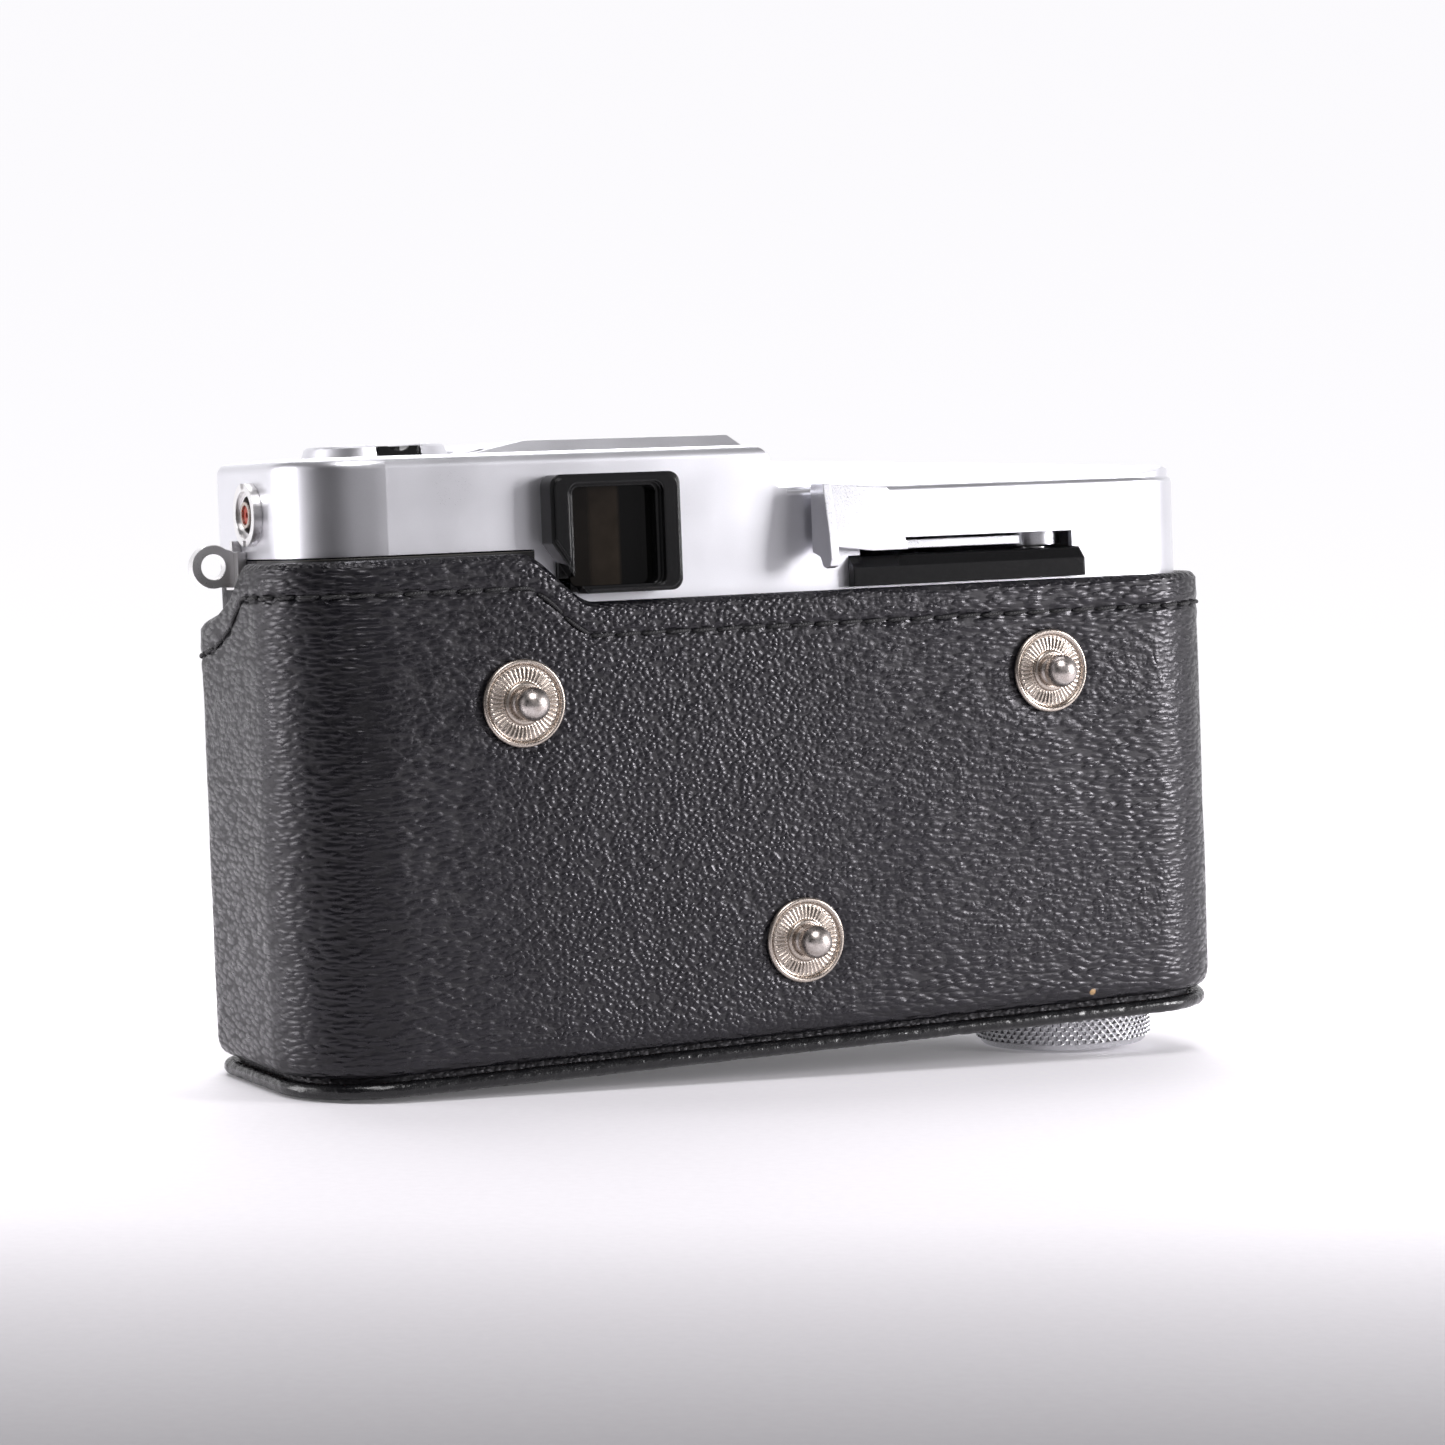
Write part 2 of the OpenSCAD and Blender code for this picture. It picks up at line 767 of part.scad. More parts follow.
module front_bezel() {
  y = body_front;
  color([0.05, 0.05, 0.055]) difference() {
    union() {
      wall_y(y - 1.2, y - eps) soft_rect(14.5, 64, 73.2, 86, 1.5);
      block(18.25, 33.75, y - 0.5, y + sheet_t, 74.55, 84.95);
      rod_y(3.55, rf_x, 80, y - 0.5, y + sheet_t);
    }
    wall_y(-far, 0) soft_rect(19, 33, 75.2, 84.4, 1);
    rod_y(2.9, rf_x, 80, -far, 0);
  }
}

module front_windows() {
  gap = 0.03;
  color([0.6, 0.65, 0.7, 0.4]) {
    wall_y(body_front - 0.9, body_front + 0.3) soft_rect(19 + gap, 33 - gap, 75.2 + gap, 84.4 - gap, 1);
    rod_y(2.87, rf_x, 80, body_front - 0.9, body_front + 0.3);
  }
}

// ---------- sync socket, on the end of the top cover ----------

module sync_ring() {
  x0 = body_hw;
  bore = 2.45;
  color([0.8, 0.8, 0.8]) difference() {
    union() {
      rod_x(sync_r, mid_y, sync_z, x0 + 0.02, x0 + 1.2);
      rod_x(3.2, mid_y, sync_z, x0 - 2.4, x0 + 1);
    }
    rod_x(bore, mid_y, sync_z, 0, far);
    rod_x(bore + 0.7, mid_y, sync_z, x0 + 0.6, far);
    for (a = [0, 180]) translate([0, mid_y, sync_z]) rotate([a, 0, 0])
      block(x0 + 0.5, x0 + 2, -0.6, 0.6, sync_r - 0.8, sync_r + 1);
  }
}

module sync_base() {
  color([0.06, 0.06, 0.06]) rod_x(2.42, mid_y, sync_z, body_hw - 2.6, body_hw - 1.9);
}

module sync_sleeve() {
  color([0.7, 0.7, 0.68]) difference() {
    rod_x(1.75, mid_y, sync_z, body_hw - 1.88, body_hw + 1);
    rod_x(1.32, mid_y, sync_z, 0, far);
  }
}

module sync_core() {
  color([0.6, 0.12, 0.08]) difference() {
    rod_x(1.28, mid_y, sync_z, body_hw - 1.88, body_hw + 0.7);
    rod_x(0.4, mid_y, sync_z, body_hw - 1, far);
  }
}

// ---------- film transport ----------

module wind_lever() {
  out = body_back + 1.2;
  tip = case_back + tab_out;
  z1 = lever_z + lever_t;
  color([0.82, 0.82, 0.84]) {
    difference() {
      union() {
        rod_z(4, lever_x, lever_y, lever_z - 0.3, z1 + 0.8);
        // arm along the inside of the cover, then out through the slot
        translate([0, 0, lever_z]) linear_extrude(lever_t) polygon([[lever_x, lever_y - 2],
          [-17, lever_y - 2], [-13, lever_y + 1], [-13, out + lever_t], [plate_x0 - 3, out + lever_t],
          [-19.5, lever_y + 2.3], [lever_x, lever_y + 2.3]]);
      }
      rod_z(1.5 + run_gap, lever_x, lever_y, 0, far);
    }
    // thumb plate, standing off the back of the cover
    wall_y(out, out + lever_t) polygon([[plate_x1 - 0.1, 83.3], [plate_x0, 82.5], [plate_x0 - 1.2, 81],
      [plate_x0 - 3, lever_z + 0.2], [plate_x0 - 3, lever_z], [-13, lever_z], [plate_x1 - 0.1, 75]]);
    // finger tab, bent out at its free end
    wall_x(plate_x1 - lever_t, plate_x1) polygon([[out, 74], [out, 83.3], [34.2, 83.3], [tip - 0.3, 76],
      [tip, 73], [tip - 0.4, 72.1], [tip - 1.4, 71.8], [tip - 2.4, 72.1], [tip - 3.2, 73.4]]);
  }
}

module lever_axle() {
  color([0.6, 0.6, 0.62]) {
    rod_z(1.5, lever_x, lever_y, deck_z - 3.5, 76.6);
    rod_z(2.6, lever_x, lever_y, deck_z + 0.02, lever_z - 0.5);
    rod_z(2.4, lever_x, lever_y, 76.2, 77);
  }
}

// Black strip that the lever passes over, with a sloping upper face
module lever_guide() {
  y0 = 27.4;
  y1 = body_back + 1.6;
  color([0.04, 0.04, 0.045]) {
    wall_x(-47.5, -10.4)
      polygon([[body_back + eps, 69.1], [y1, 69.1], [y1, 71.6], [body_back + eps, 73.2]]);
    wall_x(-46.85, -10.45)
      polygon([[y0, 69.1], [body_back + 0.5, 69.1], [body_back + 0.5, 72.4], [y0, 73.2]]);
  }
}

module takeup_spool() {
  color([0.1, 0.1, 0.1]) translate([spool_x, mid_y, 0]) difference() {
    union() {
      translate([0, 0, chamber_z0 + 1]) cylinder(h = chamber_z1 - chamber_z0 - 2, r = 6);
      for (z = [chamber_z0 + 0.6, chamber_z1 - 2.2]) translate([0, 0, z]) cylinder(h = 1.6, r = 9.5);
      translate([0, 0, chamber_z0 + 1]) cylinder(h = deck_z + 1.5 - chamber_z0 - 1, r = 3);
    }
    for (a = [0:60:120]) rotate([0, 0, a]) translate([0, 0, lens_z]) cube([14, 1.2, 24], center = true);
  }
}

module sprocket() {
  teeth = 8;
  color([0.65, 0.65, 0.66]) translate([sprocket_x, sprocket_y, 0]) {
    translate([0, 0, chamber_z0 - 3]) cylinder(h = chamber_z1 + 3 - chamber_z0 + 3, r = 1.5);
    translate([0, 0, chamber_z0 + 5]) cylinder(h = chamber_z1 - chamber_z0 - 10, r = 4.4);
    for (z = [-14.2, 14.2], i = [0:teeth - 1])
      translate([0, 0, lens_z + z]) rotate([0, 0, i * 360 / teeth]) translate([4, 0, 0])
        cube([2.6, 1.3, 1.6], center = true);
  }
}

module counter_disc() {
  color([0.1, 0.1, 0.1]) {
    rod_z(8, counter_x, counter_y, 80.4, 81);
    rod_z(1.2, counter_x, counter_y, deck_z - 2, 80.5);
  }
}

module counter_window() {
  color([0.8, 0.85, 0.85, 0.4]) rod_z(2.5, counter_x, -0.5, 83, 84.7);
}

module rewind_shaft() {
  fork_z = chamber_z1 - 6;
  color([0.7, 0.7, 0.72]) difference() {
    rod_z(shaft_r, cassette_x, mid_y, fork_z, knob_z0 + 0.5);
    block(cassette_x - 0.8, cassette_x + 0.8, 0, 30, fork_z - 1, fork_z + 4);
  }
}

module rewind_knob() {
  floor_z = 87.5;
  color([0.8, 0.8, 0.82]) difference() {
    translate([cassette_x, mid_y, 0]) rotate_extrude() polygon([[0, knob_z0], [knob_r - 0.3, knob_z0],
      [knob_r, knob_z0 + 0.3], [knob_r, 88.6], [knob_r - 0.6, knob_z1 - 0.3],
      [knob_r - 0.9, knob_z1], [0, knob_z1]]);
    block(cassette_x - slot_w / 2, cassette_x + slot_w / 2, -far, far, floor_z, far);
    rod_z(shaft_r + 0.02, cassette_x, mid_y, 0, knob_z0 + 0.55);
    rod_x(0.62, crank_y, crank_z, cassette_x - 4.9, cassette_x + 4.9);
  }
}

module rewind_crank() {
  hw = slot_w / 2 - 0.3;
  color([0.05, 0.05, 0.055]) difference() {
    union() {
      rod_x(crank_r, crank_y, crank_z, cassette_x - hw, cassette_x + hw);
      block(cassette_x - hw, cassette_x + hw, crank_y, mid_y + 9, crank_z - crank_r, crank_z + crank_r);
    }
    rod_x(0.6 + run_gap, crank_y, crank_z, 0, far);
    rod_y(2, cassette_x, crank_z + 2.6, mid_y + 5.5, far);
  }
}

module crank_pin() {
  color([0.6, 0.6, 0.62]) rod_x(0.6, crank_y, crank_z, cassette_x - 4.8, cassette_x + 4.8);
}

module rewind_release() {
  color([0.75, 0.75, 0.76]) {
    rod_z(2, -36, 4, body_z + 0.15, body_z + cover_t + 0.6);
    rod_z(2.4, -36, 4, body_z + cover_t + 0.1, body_z + cover_t + 0.9);
  }
}

// ---------- lens and shutter ----------

module shutter_housing() {
  color([0.78, 0.78, 0.8]) difference() {
    union() {
      lens_rod(flange_r, -inset, drum_d);
      lens_rod(drum_r, 0, neck_d);
      lens_rod(neck_r, 0, housing_d);
    }
    lens_rod(cell_r + run_gap, -far, far);
  }
}

module timer_lever() {
  color([0.7, 0.7, 0.72]) {
    lens_tube(drum_r + run_gap, 24.4, drum_d + eps, drum_d + 0.85);
    translate([0, 0, lens_z]) rotate([0, 140, 0]) {
      block(24, 30.5, body_front - drum_d - 0.85, body_front - drum_d - eps, -1.6, 1.6);
      block(27, 31, body_front - drum_d - 2.2, body_front - drum_d - 0.5, -2, 2);
    }
  }
}

module speed_ring() {
  flutes = 36;
  color([0.8, 0.8, 0.82]) difference() {
    lens_tube(drum_r + run_gap, 25, drum_d + 0.95, 9.5);
    translate([0, 0, lens_z]) for (i = [0:flutes - 1]) rotate([0, i * 360 / flutes, 0])
      translate([25, body_front - 8.2, 0]) cube([0.8, 2.6, 1.2], center = true);
  }
}

module aperture_ring() {
  color([0.1, 0.1, 0.11]) lens_tube(drum_r + run_gap, 24.6, 9.6, neck_d - 0.1);
}

module focus_ring() {
  lobes = 30;
  color([0.78, 0.78, 0.8]) difference() {
    lens_rod(24.2, neck_d + 0.1, 26.2);
    lens_rod(neck_r + run_gap, 0, far);
    lens_rod(bell_r + 0.3, housing_d + 0.3, far);
    translate([0, 0, lens_z]) for (i = [0:lobes - 1]) rotate([0, i * 360 / lobes, 0])
      translate([24.2, body_front - 21.5, 0]) cube([1, 5, 2.2], center = true);
  }
}

module lens_cell() {
  front = 24;
  color([0.06, 0.06, 0.065]) translate([0, body_front, lens_z]) rotate([90, 0, 0]) rotate_extrude() polygon([
    [glass_r + 0.05, 0.5], [cell_r, 0.5], [cell_r, housing_d + 0.4], [bell_r, housing_d + 0.4],
    [bell_r, lens_d - 0.4], [bell_r - 0.4, lens_d], [filter_r, lens_d], [filter_r, lens_d - 3.6],
    [17, lens_d - 4.2], [14.4, front - 0.2], [glass_r + 0.05, front - 0.2]]);
}

module front_glass() {
  color([0.55, 0.5, 0.65, 0.4]) intersection() {
    lens_rod(glass_r, 16, 26);
    translate([0, body_front + 5, lens_z]) sphere(29, $fn = 240);
    translate([0, body_front - 55, lens_z]) sphere(38, $fn = 240);
  }
}

module rear_glass() {
  color([0.55, 0.5, 0.65, 0.4]) intersection() {
    lens_rod(glass_r, 1, 8);
    translate([0, body_front - 32, lens_z]) sphere(31, $fn = 240);
    translate([0, body_front + 30, lens_z]) sphere(37, $fn = 240);
  }
}

// Five leaves, closed
module shutter_blades() {
  leaves = 5;
  color([0.3, 0.3, 0.32]) difference() {
    lens_rod(glass_r, 11, 11.5);
    translate([0, 0, lens_z]) for (i = [0:leaves - 1]) rotate([0, i * 360 / leaves, 0])
      translate([-0.05, body_front - 13, 0]) cube([0.1, 4, 20]);
  }
}

module shutter_button() {
  color([0.82, 0.82, 0.84]) difference() {
    union() {
      rod_z(button_r, button_x, button_y, 80.6, 85.9);
      rod_z(1.2, button_x, button_y, 74, 81);
      rod_z(4.4, button_x, button_y, 80.6, 81.3);
    }
    translate([button_x, button_y, 85.9 + 9.2]) sphere(9.7);
    rod_z(0.9, button_x, button_y, 82, far);
  }
}

module button_collar() {
  color([0.78, 0.78, 0.8]) difference() {
    rod_z(6.2, button_x, button_y, 81.6, 85.8);
    rod_z(button_r + run_gap, button_x, button_y, 0, far);
  }
}

case_wall();
case_lining();
case_base();
base_pad();
case_piping();
case_screw();
screw_ferrule();
screw_clip();
snap_rings();
snap_posts();
snap_backs();
chassis_gate();
chassis_rewind();
chassis_wind();
top_frame();
leatherette();
back_door();
hinge_pin();
pressure_plate();
plate_spring();
door_latch();
bottom_cover();
tripod_bush();
top_cover();
cover_screws();
strap_lugs();
eyepiece_frame();
eyepiece_lens();
finder_housing();
beam_splitter();
rf_mirror();
front_bezel();
front_windows();
sync_ring();
sync_base();
sync_sleeve();
sync_core();
wind_lever();
lever_axle();
lever_guide();
takeup_spool();
sprocket();
counter_disc();
counter_window();
rewind_shaft();
rewind_knob();
rewind_crank();
crank_pin();
rewind_release();
shutter_housing();
timer_lever();
speed_ring();
aperture_ring();
focus_ring();
lens_cell();
front_glass();
rear_glass();
shutter_blades();
shutter_button();
button_collar();
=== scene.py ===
"""Rangefinder camera in the lower half of its leather case.

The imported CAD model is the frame. The leather, welt, thread, felt, snaps and the knurled case screw are
built here, and every CAD node gets a procedural material. Shapes are worked out in millimetres and
written in metres. Heights of the leather's edge and radii of its corners follow the CAD model's.
"""
import json
import math

import bmesh
import bpy
import numpy as np
from mathutils import Matrix, Vector


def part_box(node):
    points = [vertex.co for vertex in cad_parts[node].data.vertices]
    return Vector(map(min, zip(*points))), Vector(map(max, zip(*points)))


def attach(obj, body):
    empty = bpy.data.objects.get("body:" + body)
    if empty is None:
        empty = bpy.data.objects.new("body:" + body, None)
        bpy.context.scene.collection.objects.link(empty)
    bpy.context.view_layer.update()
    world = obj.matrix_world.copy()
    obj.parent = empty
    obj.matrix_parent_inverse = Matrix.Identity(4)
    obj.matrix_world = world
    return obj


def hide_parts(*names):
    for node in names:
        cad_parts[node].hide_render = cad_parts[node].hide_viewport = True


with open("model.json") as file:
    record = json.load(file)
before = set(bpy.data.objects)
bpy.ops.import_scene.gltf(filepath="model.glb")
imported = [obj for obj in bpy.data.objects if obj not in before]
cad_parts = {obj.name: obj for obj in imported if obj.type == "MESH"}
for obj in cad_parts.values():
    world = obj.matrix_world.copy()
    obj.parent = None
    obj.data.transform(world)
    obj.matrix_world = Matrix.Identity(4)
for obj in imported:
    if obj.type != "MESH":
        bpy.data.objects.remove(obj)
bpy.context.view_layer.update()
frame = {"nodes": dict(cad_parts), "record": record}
MM = 0.001
TAU = 2 * math.pi


# ---------- places and sizes, from the frame, in millimetres ----------

def box(node):
    low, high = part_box(node)
    return np.array(low) / MM, np.array(high) / MM


# case wall: outline in plan, thicknesses, and the shape of its top edge
wall_low, wall_high = box("case_wall")
CASE_HALF = wall_high[0]
CASE_FRONT = wall_low[1]
CASE_BACK = wall_high[1]
WALL_BOTTOM = wall_low[2]
EDGE_HIGH = wall_high[2]
CORNER_BACK = 14.5
CORNER_FRONT = 8.0
LEATHER = 2.3
LINING = 0.5
EDGE_LOW = 68.8      # behind the finder
EDGE_FRONT = 67.3
RISE_FROM = 29.0     # the edge rises between these two x
RISE_TO = 39.5
DIP_Y = (-6, 2.4, 8.6, 14)   # the edge rises towards the back along both ends
DIP_Z = (EDGE_FRONT, 68.9, 71.4, EDGE_HIGH)
FRONT_DEPTH = 6      # what lies less than this behind the front face belongs to the front wall

# opening for the lens
housing_low, housing_high = box("shutter_housing")
LENS_Z = (housing_low[2] + housing_high[2]) / 2
OPENING_R = (housing_high[2] - housing_low[2]) / 2 + 2.5
OPENING_SLANT = 0.6  # how far its upright sides lean
CLOSE_PITCH = 0.08   # columns stand this close where the edge is steep,
CLOSE_SPAN = 1.2     # in runs shorter than this

# rows of the wall's mesh, from the foot up
FOOT_HIGH = 2.4
SEAM_BAND = 8.0      # rows follow the edge this far down
SHORT_WALL = 12      # a wall lower than this gets a smaller foot and lip

# seam
STITCH_DROP = 4.5
STITCH_PITCH = 3.7
GROOVE_DEPTH = 0.14
HOLE_DEPTH = 0.42

# relief of the leather
PEBBLE_DEPTH = 0.06
CREASE_DEPTH = 0.03
SWELL = 0.16
NICK = (-45.8, CASE_BACK, WALL_BOTTOM + 1.4)

# case screw
screw_low, screw_high = box("case_screw")
SCREW_X, SCREW_Y = (screw_low[:2] + screw_high[:2]) / 2
SCREW_R = (screw_high[0] - screw_low[0]) / 2
SCREW_HEAD = 5.3
SOCKET_R = 3.175     # tripod thread, 1/4 inch

# snaps
ring_low, ring_high = box("snap_rings")
RING_R = 5.85
DISH_R = 4.85
COLLAR_R = 2.95
RIBS = 44
BALL_R = 2.3
NECK_R = 1.5
SNAP_X = ring_high[0] - RING_R
SNAPS = ((SNAP_X, ring_high[2] - RING_R), (-SNAP_X, ring_high[2] - RING_R), (0.0, ring_low[2] + RING_R))
POST_OUT = box("snap_posts")[1][1] - CASE_BACK

# welt, and the base inside it
piping_low, piping_high = box("case_piping")
PIPING_R = (piping_high[2] - piping_low[2]) / 2
PIPING_Z = (piping_high[2] + piping_low[2]) / 2
PIPING_IN = CASE_HALF - piping_high[0] + PIPING_R
WELT_SLACK = 0.35    # how much thinner than its space the welt is
BASE_IN = 1.75

# eyepiece: the lens's edge, and the brown strip of painted light in it
EYE_RIGHT = box("eyepiece_lens")[1][0]
STRIP_LEFT = EYE_RIGHT - 3.2
STRIP_RIGHT = EYE_RIGHT - 7.2

PHOTO_YAW = -26.2    # degrees that the view is turned from looking straight at the back


# ---------- camera, floor and light ----------

def photo_camera():
    """The photograph's view: from behind the camera and to its rewind side, a little above it."""
    yaw, pitch, roll = (math.radians(a) for a in (PHOTO_YAW, 3.45, -2.13))
    level = math.cos(pitch)
    forward = Vector((math.sin(yaw) * level, -math.cos(yaw) * level, -math.sin(pitch)))
    right = forward.cross(Vector((0, 0, 1))).normalized()
    up = right.cross(forward)
    turned_right = right * math.cos(roll) + up * math.sin(roll)
    turned_up = up * math.cos(roll) - right * math.sin(roll)
    data = bpy.data.cameras.new("view")
    data.sensor_width = 36
    data.lens = 91.36
    data.clip_start = 0.01
    data.clip_end = 20
    holder = bpy.data.objects.new("view", data)
    holder.matrix_world = Matrix.Translation((0.2285, 0.4739, 0.0814)) @ Matrix(
        (turned_right, turned_up, -forward)).transposed().to_4x4()
    bpy.context.collection.objects.link(holder)
    bpy.context.scene.camera = holder


def soft_light(name, place, target, size, power):
    data = bpy.data.lights.new(name, "AREA")
    data.shape = "RECTANGLE"
    data.size, data.size_y = size
    data.energy = power
    data.color = (1, 0.985, 1)
    lamp = bpy.data.objects.new(name, data)
    lamp.location = place
    lamp.rotation_euler = (Vector(target) - Vector(place)).to_track_quat("-Z", "Y").to_euler()
    bpy.context.collection.objects.link(lamp)


def studio():
    soft_light("top_box", (-0.1, -0.38, 0.72), (0, 0.0, 0.02), (0.6, 0.6), 4.4)
    soft_light("front_fill", (0.2, 0.55, 0.9), (0, 0.05, 0), (0.5, 0.5), 6.0)
    soft_light("wind_side_box", (-0.7, 0.56, 0.2), (-0.02, 0.02, 0.05), (0.26, 0.3), 7.4)
    soft_light("rewind_side_box", (0.72, -0.3, 0.2), (0.05, 0, 0.05), (0.3, 0.4), 2.4)

    world = bpy.data.worlds.new("studio")
    bpy.context.scene.world = world
    world.use_nodes = True
    tree = world.node_tree
    tree.nodes.clear()
    way = add(tree, "ShaderNodeTexCoord").outputs["Generated"]
    round_about = add(tree, "ShaderNodeTexGradient", {"Vector": way}, gradient_type="RADIAL").outputs["Fac"]
    # bright to the sides and behind the object, dark where the photographer stands
    walls = ramp(tree, round_about, (0.0, 0.85), (0.25, 0.8), (0.32, 0.7), (0.39, 1.2), (0.48, 1.1),
                 (0.535, 0.3), (0.56, 0.04), (0.63, 0.03), (0.645, 0.06), (0.68, 0.45), (0.74, 0.42),
                 (0.796, 0.22), (0.815, 0.4), (0.835, 0.85), (0.9, 1.0), (1.0, 0.8))
    height = add(tree, "ShaderNodeSeparateXYZ", {"Vector": way}).outputs["Z"]
    fade = ramp(tree, fit(tree, height, -0.2, 1.0), (0.0, 0.05), (0.13, 0.4), (0.2, 1.0), (0.45, 0.8),
                (0.7, 0.22), (1.0, 0.15))
    light = mix(tree, 1.0, walls, fade, "MULTIPLY")
    tint = mix(tree, 1.0, light, (0.985, 0.965, 1.0, 1), "MULTIPLY")
    sky = add(tree, "ShaderNodeBackground", {"Color": tint, "Strength": 1.0}).outputs["Background"]
    out = add(tree, "ShaderNodeOutputWorld")
    tree.links.new(sky, out.inputs["Surface"])

    view = bpy.context.scene.view_settings
    view.view_transform = "Standard"
    view.look = "None"


def sweep_floor():
    """The pale floor, rising into a white backdrop far behind the object.

    The case rests on the rim of its screw and on its welt at the rewind end, so the floor is tilted under it.
    """
    rim_x = (SCREW_X + SCREW_R) * MM
    slope = math.atan2(piping_low[2] * MM, CASE_HALF * MM - rim_x)
    # metres: flat length behind, the bend's radius, half the width, flat length in front, backdrop's height
    flat_back, bend, side, front, wall = 1.0, 0.7, 2.0, 0.32, 2.0
    profile = [(front - i * (front + flat_back) / 40, 0.0) for i in range(41)]
    profile += [(-flat_back - bend * math.sin(a), bend * (1 - math.cos(a)))
                for a in (math.radians(90 * i / 24) for i in range(1, 25))]
    profile += [(-flat_back - bend, bend + wall)]
    columns = np.linspace(-side, side, 31)
    verts = [(x, y, z) for y, z in profile for x in columns]
    wide = len(columns)
    faces = [(r * wide + c, r * wide + c + 1, (r + 1) * wide + c + 1, (r + 1) * wide + c)
             for r in range(len(profile) - 1) for c in range(wide - 1)]
    mesh = bpy.data.meshes.new("floor")
    mesh.from_pydata(verts, [], faces)
    mesh.shade_smooth()
    mesh.materials.append(floor_paper("floor_paper"))
    floor = bpy.data.objects.new("floor", mesh)
    floor.matrix_world = (Matrix.Translation((rim_x, 0, 0)) @ Matrix.Rotation(-slope, 4, "Y")
                          @ Matrix.Rotation(math.radians(PHOTO_YAW), 4, "Z"))
    bpy.context.collection.objects.link(floor)


def floor_paper(name):
    """White paper that glows at the back, with shade painted into its colour towards the photographer."""
    made, tree, shader = material(name)
    where = add(tree, "ShaderNodeTexCoord").outputs["Object"]
    along = add(tree, "ShaderNodeSeparateXYZ", {"Vector": where}).outputs["Y"]
    glow = ramp(tree, fit(tree, along, -1.0, 0.4), (0.0, 0.97), (0.35, 0.9), (0.6, 0.4), (0.72, 0.12),
                (0.85, 0.0))
    # painted shade: the paper's colour darkens towards the photographer
    shade = ramp(tree, fit(tree, along, -1.0, 0.3), (0.0, 0.02), (0.4, 0.12), (0.6, 0.6), (0.7, 1.0),
                 (0.81, 1.0), (0.89, 0.76), (0.93, 0.49), (1.0, 0.1))
    grain = noise(tree, place(tree), 1.4, 2)
    paper = ramp(tree, grain, (0.3, (0.87, 0.85, 0.885, 1)), (0.7, (0.9, 0.88, 0.915, 1)))
    tree.links.new(mix(tree, 1.0, paper, shade, "MULTIPLY"), shader.inputs["Base Color"])
    tree.links.new(glow, shader.inputs["Emission Strength"])
    shader.inputs["Emission Color"].default_value = (0.985, 0.975, 1, 1)
    shader.inputs["Roughness"].default_value = 0.6
    shader.inputs["Specular IOR Level"].default_value = 0.25
    return made


# ---------- node materials: small helpers ----------

def material(name):
    made = bpy.data.materials.new(name)
    made.use_nodes = True
    tree = made.node_tree
    return made, tree, tree.nodes["Principled BSDF"]


def add(tree, kind, inputs=None, **settings):
    node = tree.nodes.new(kind)
    for key, value in settings.items():
        setattr(node, key, value)
    for key, value in (inputs or {}).items():
        if isinstance(value, bpy.types.NodeSocket):
            tree.links.new(value, node.inputs[key])
        else:
            node.inputs[key].default_value = value
    return node


def place(tree, stretch=(1, 1, 1)):
    """The object's own coordinates in millimetres, drawn out by stretch."""
    where = add(tree, "ShaderNodeTexCoord").outputs["Object"]
    scale = tuple(1 / (MM * s) for s in stretch)
    return add(tree, "ShaderNodeMapping", {"Vector": where, "Scale": scale}).outputs["Vector"]


def noise(tree, where, size, detail=3.0, rough=0.55):
    return add(tree, "ShaderNodeTexNoise", {"Vector": where, "Scale": 1 / size, "Detail": detail,
                                            "Roughness": rough}).outputs["Fac"]


def pores(tree, where, size):
    """0 in the middle of each small cell, 1 between them."""
    cells = add(tree, "ShaderNodeTexVoronoi", {"Vector": where, "Scale": 1 / size}, feature="F1")
    return ramp(tree, cells.outputs["Distance"], (0.1, 0.0), (0.4, 1.0))


def domes(tree, where, size):
    """Rounded pebbles: 1 on their tops, 0 in the valleys."""
    far = add(tree, "ShaderNodeTexVoronoi", {"Vector": where, "Scale": 1 / size, "Smoothness": 0.35},
              feature="SMOOTH_F1").outputs["Distance"]
    return ramp(tree, far, (0.1, 1.0), (0.35, 0.82), (0.55, 0.4), (0.72, 0.0))


def warped(tree, where, size, amount):
    """Coordinates pushed about by noise, so that cells and lines wander."""
    push = add(tree, "ShaderNodeTexNoise", {"Vector": where, "Scale": 1 / size, "Detail": 2.0})

    def vector(operation, inputs):
        return add(tree, "ShaderNodeVectorMath", inputs, operation=operation).outputs[0]

    centred = vector("SUBTRACT", {0: push.outputs["Color"], 1: (0.5, 0.5, 0.5)})
    return vector("ADD", {0: where, 1: vector("SCALE", {0: centred, "Scale": amount})})


def grey(value):
    """A colour with its alpha, from a shade of grey or from red, green and blue."""
    return (value, value, value, 1) if isinstance(value, (int, float)) else tuple(value)[:3] + (1,)


def ramp(tree, factor, *stops):
    node = add(tree, "ShaderNodeValToRGB", {"Fac": factor})
    points = node.color_ramp.elements
    while len(points) < len(stops):
        points.new(0.5)
    for point, (at, colour) in zip(points, stops):
        point.position = at
        point.color = grey(colour)
    return node.outputs["Color"]


def fit(tree, value, low, high, to_low=0.0, to_high=1.0):
    return add(tree, "ShaderNodeMapRange", {"Value": value, "From Min": low, "From Max": high,
                                            "To Min": to_low, "To Max": to_high}).outputs["Result"]


def sums(tree, operation, a, b):
    return add(tree, "ShaderNodeMath", {0: a, 1: b}, operation=operation).outputs[0]


def mix(tree, factor, a, b, blend="MIX"):
    return add(tree, "ShaderNodeMix", {0: factor, 6: a, 7: b}, data_type="RGBA", blend_type=blend).outputs[2]


def bump(tree, height, depth, strength=1.0, normal=None):
    """Height from 0 to 1 raised by depth millimetres."""
    inputs = {"Height": height, "Distance": depth * MM, "Strength": strength}
    if normal is not None:
        inputs["Normal"] = normal
    return add(tree, "ShaderNodeBump", inputs).outputs["Normal"]


def soft_edges(tree, radius):
    return add(tree, "ShaderNodeBevel", {"Radius": radius * MM}, samples=4).outputs["Normal"]


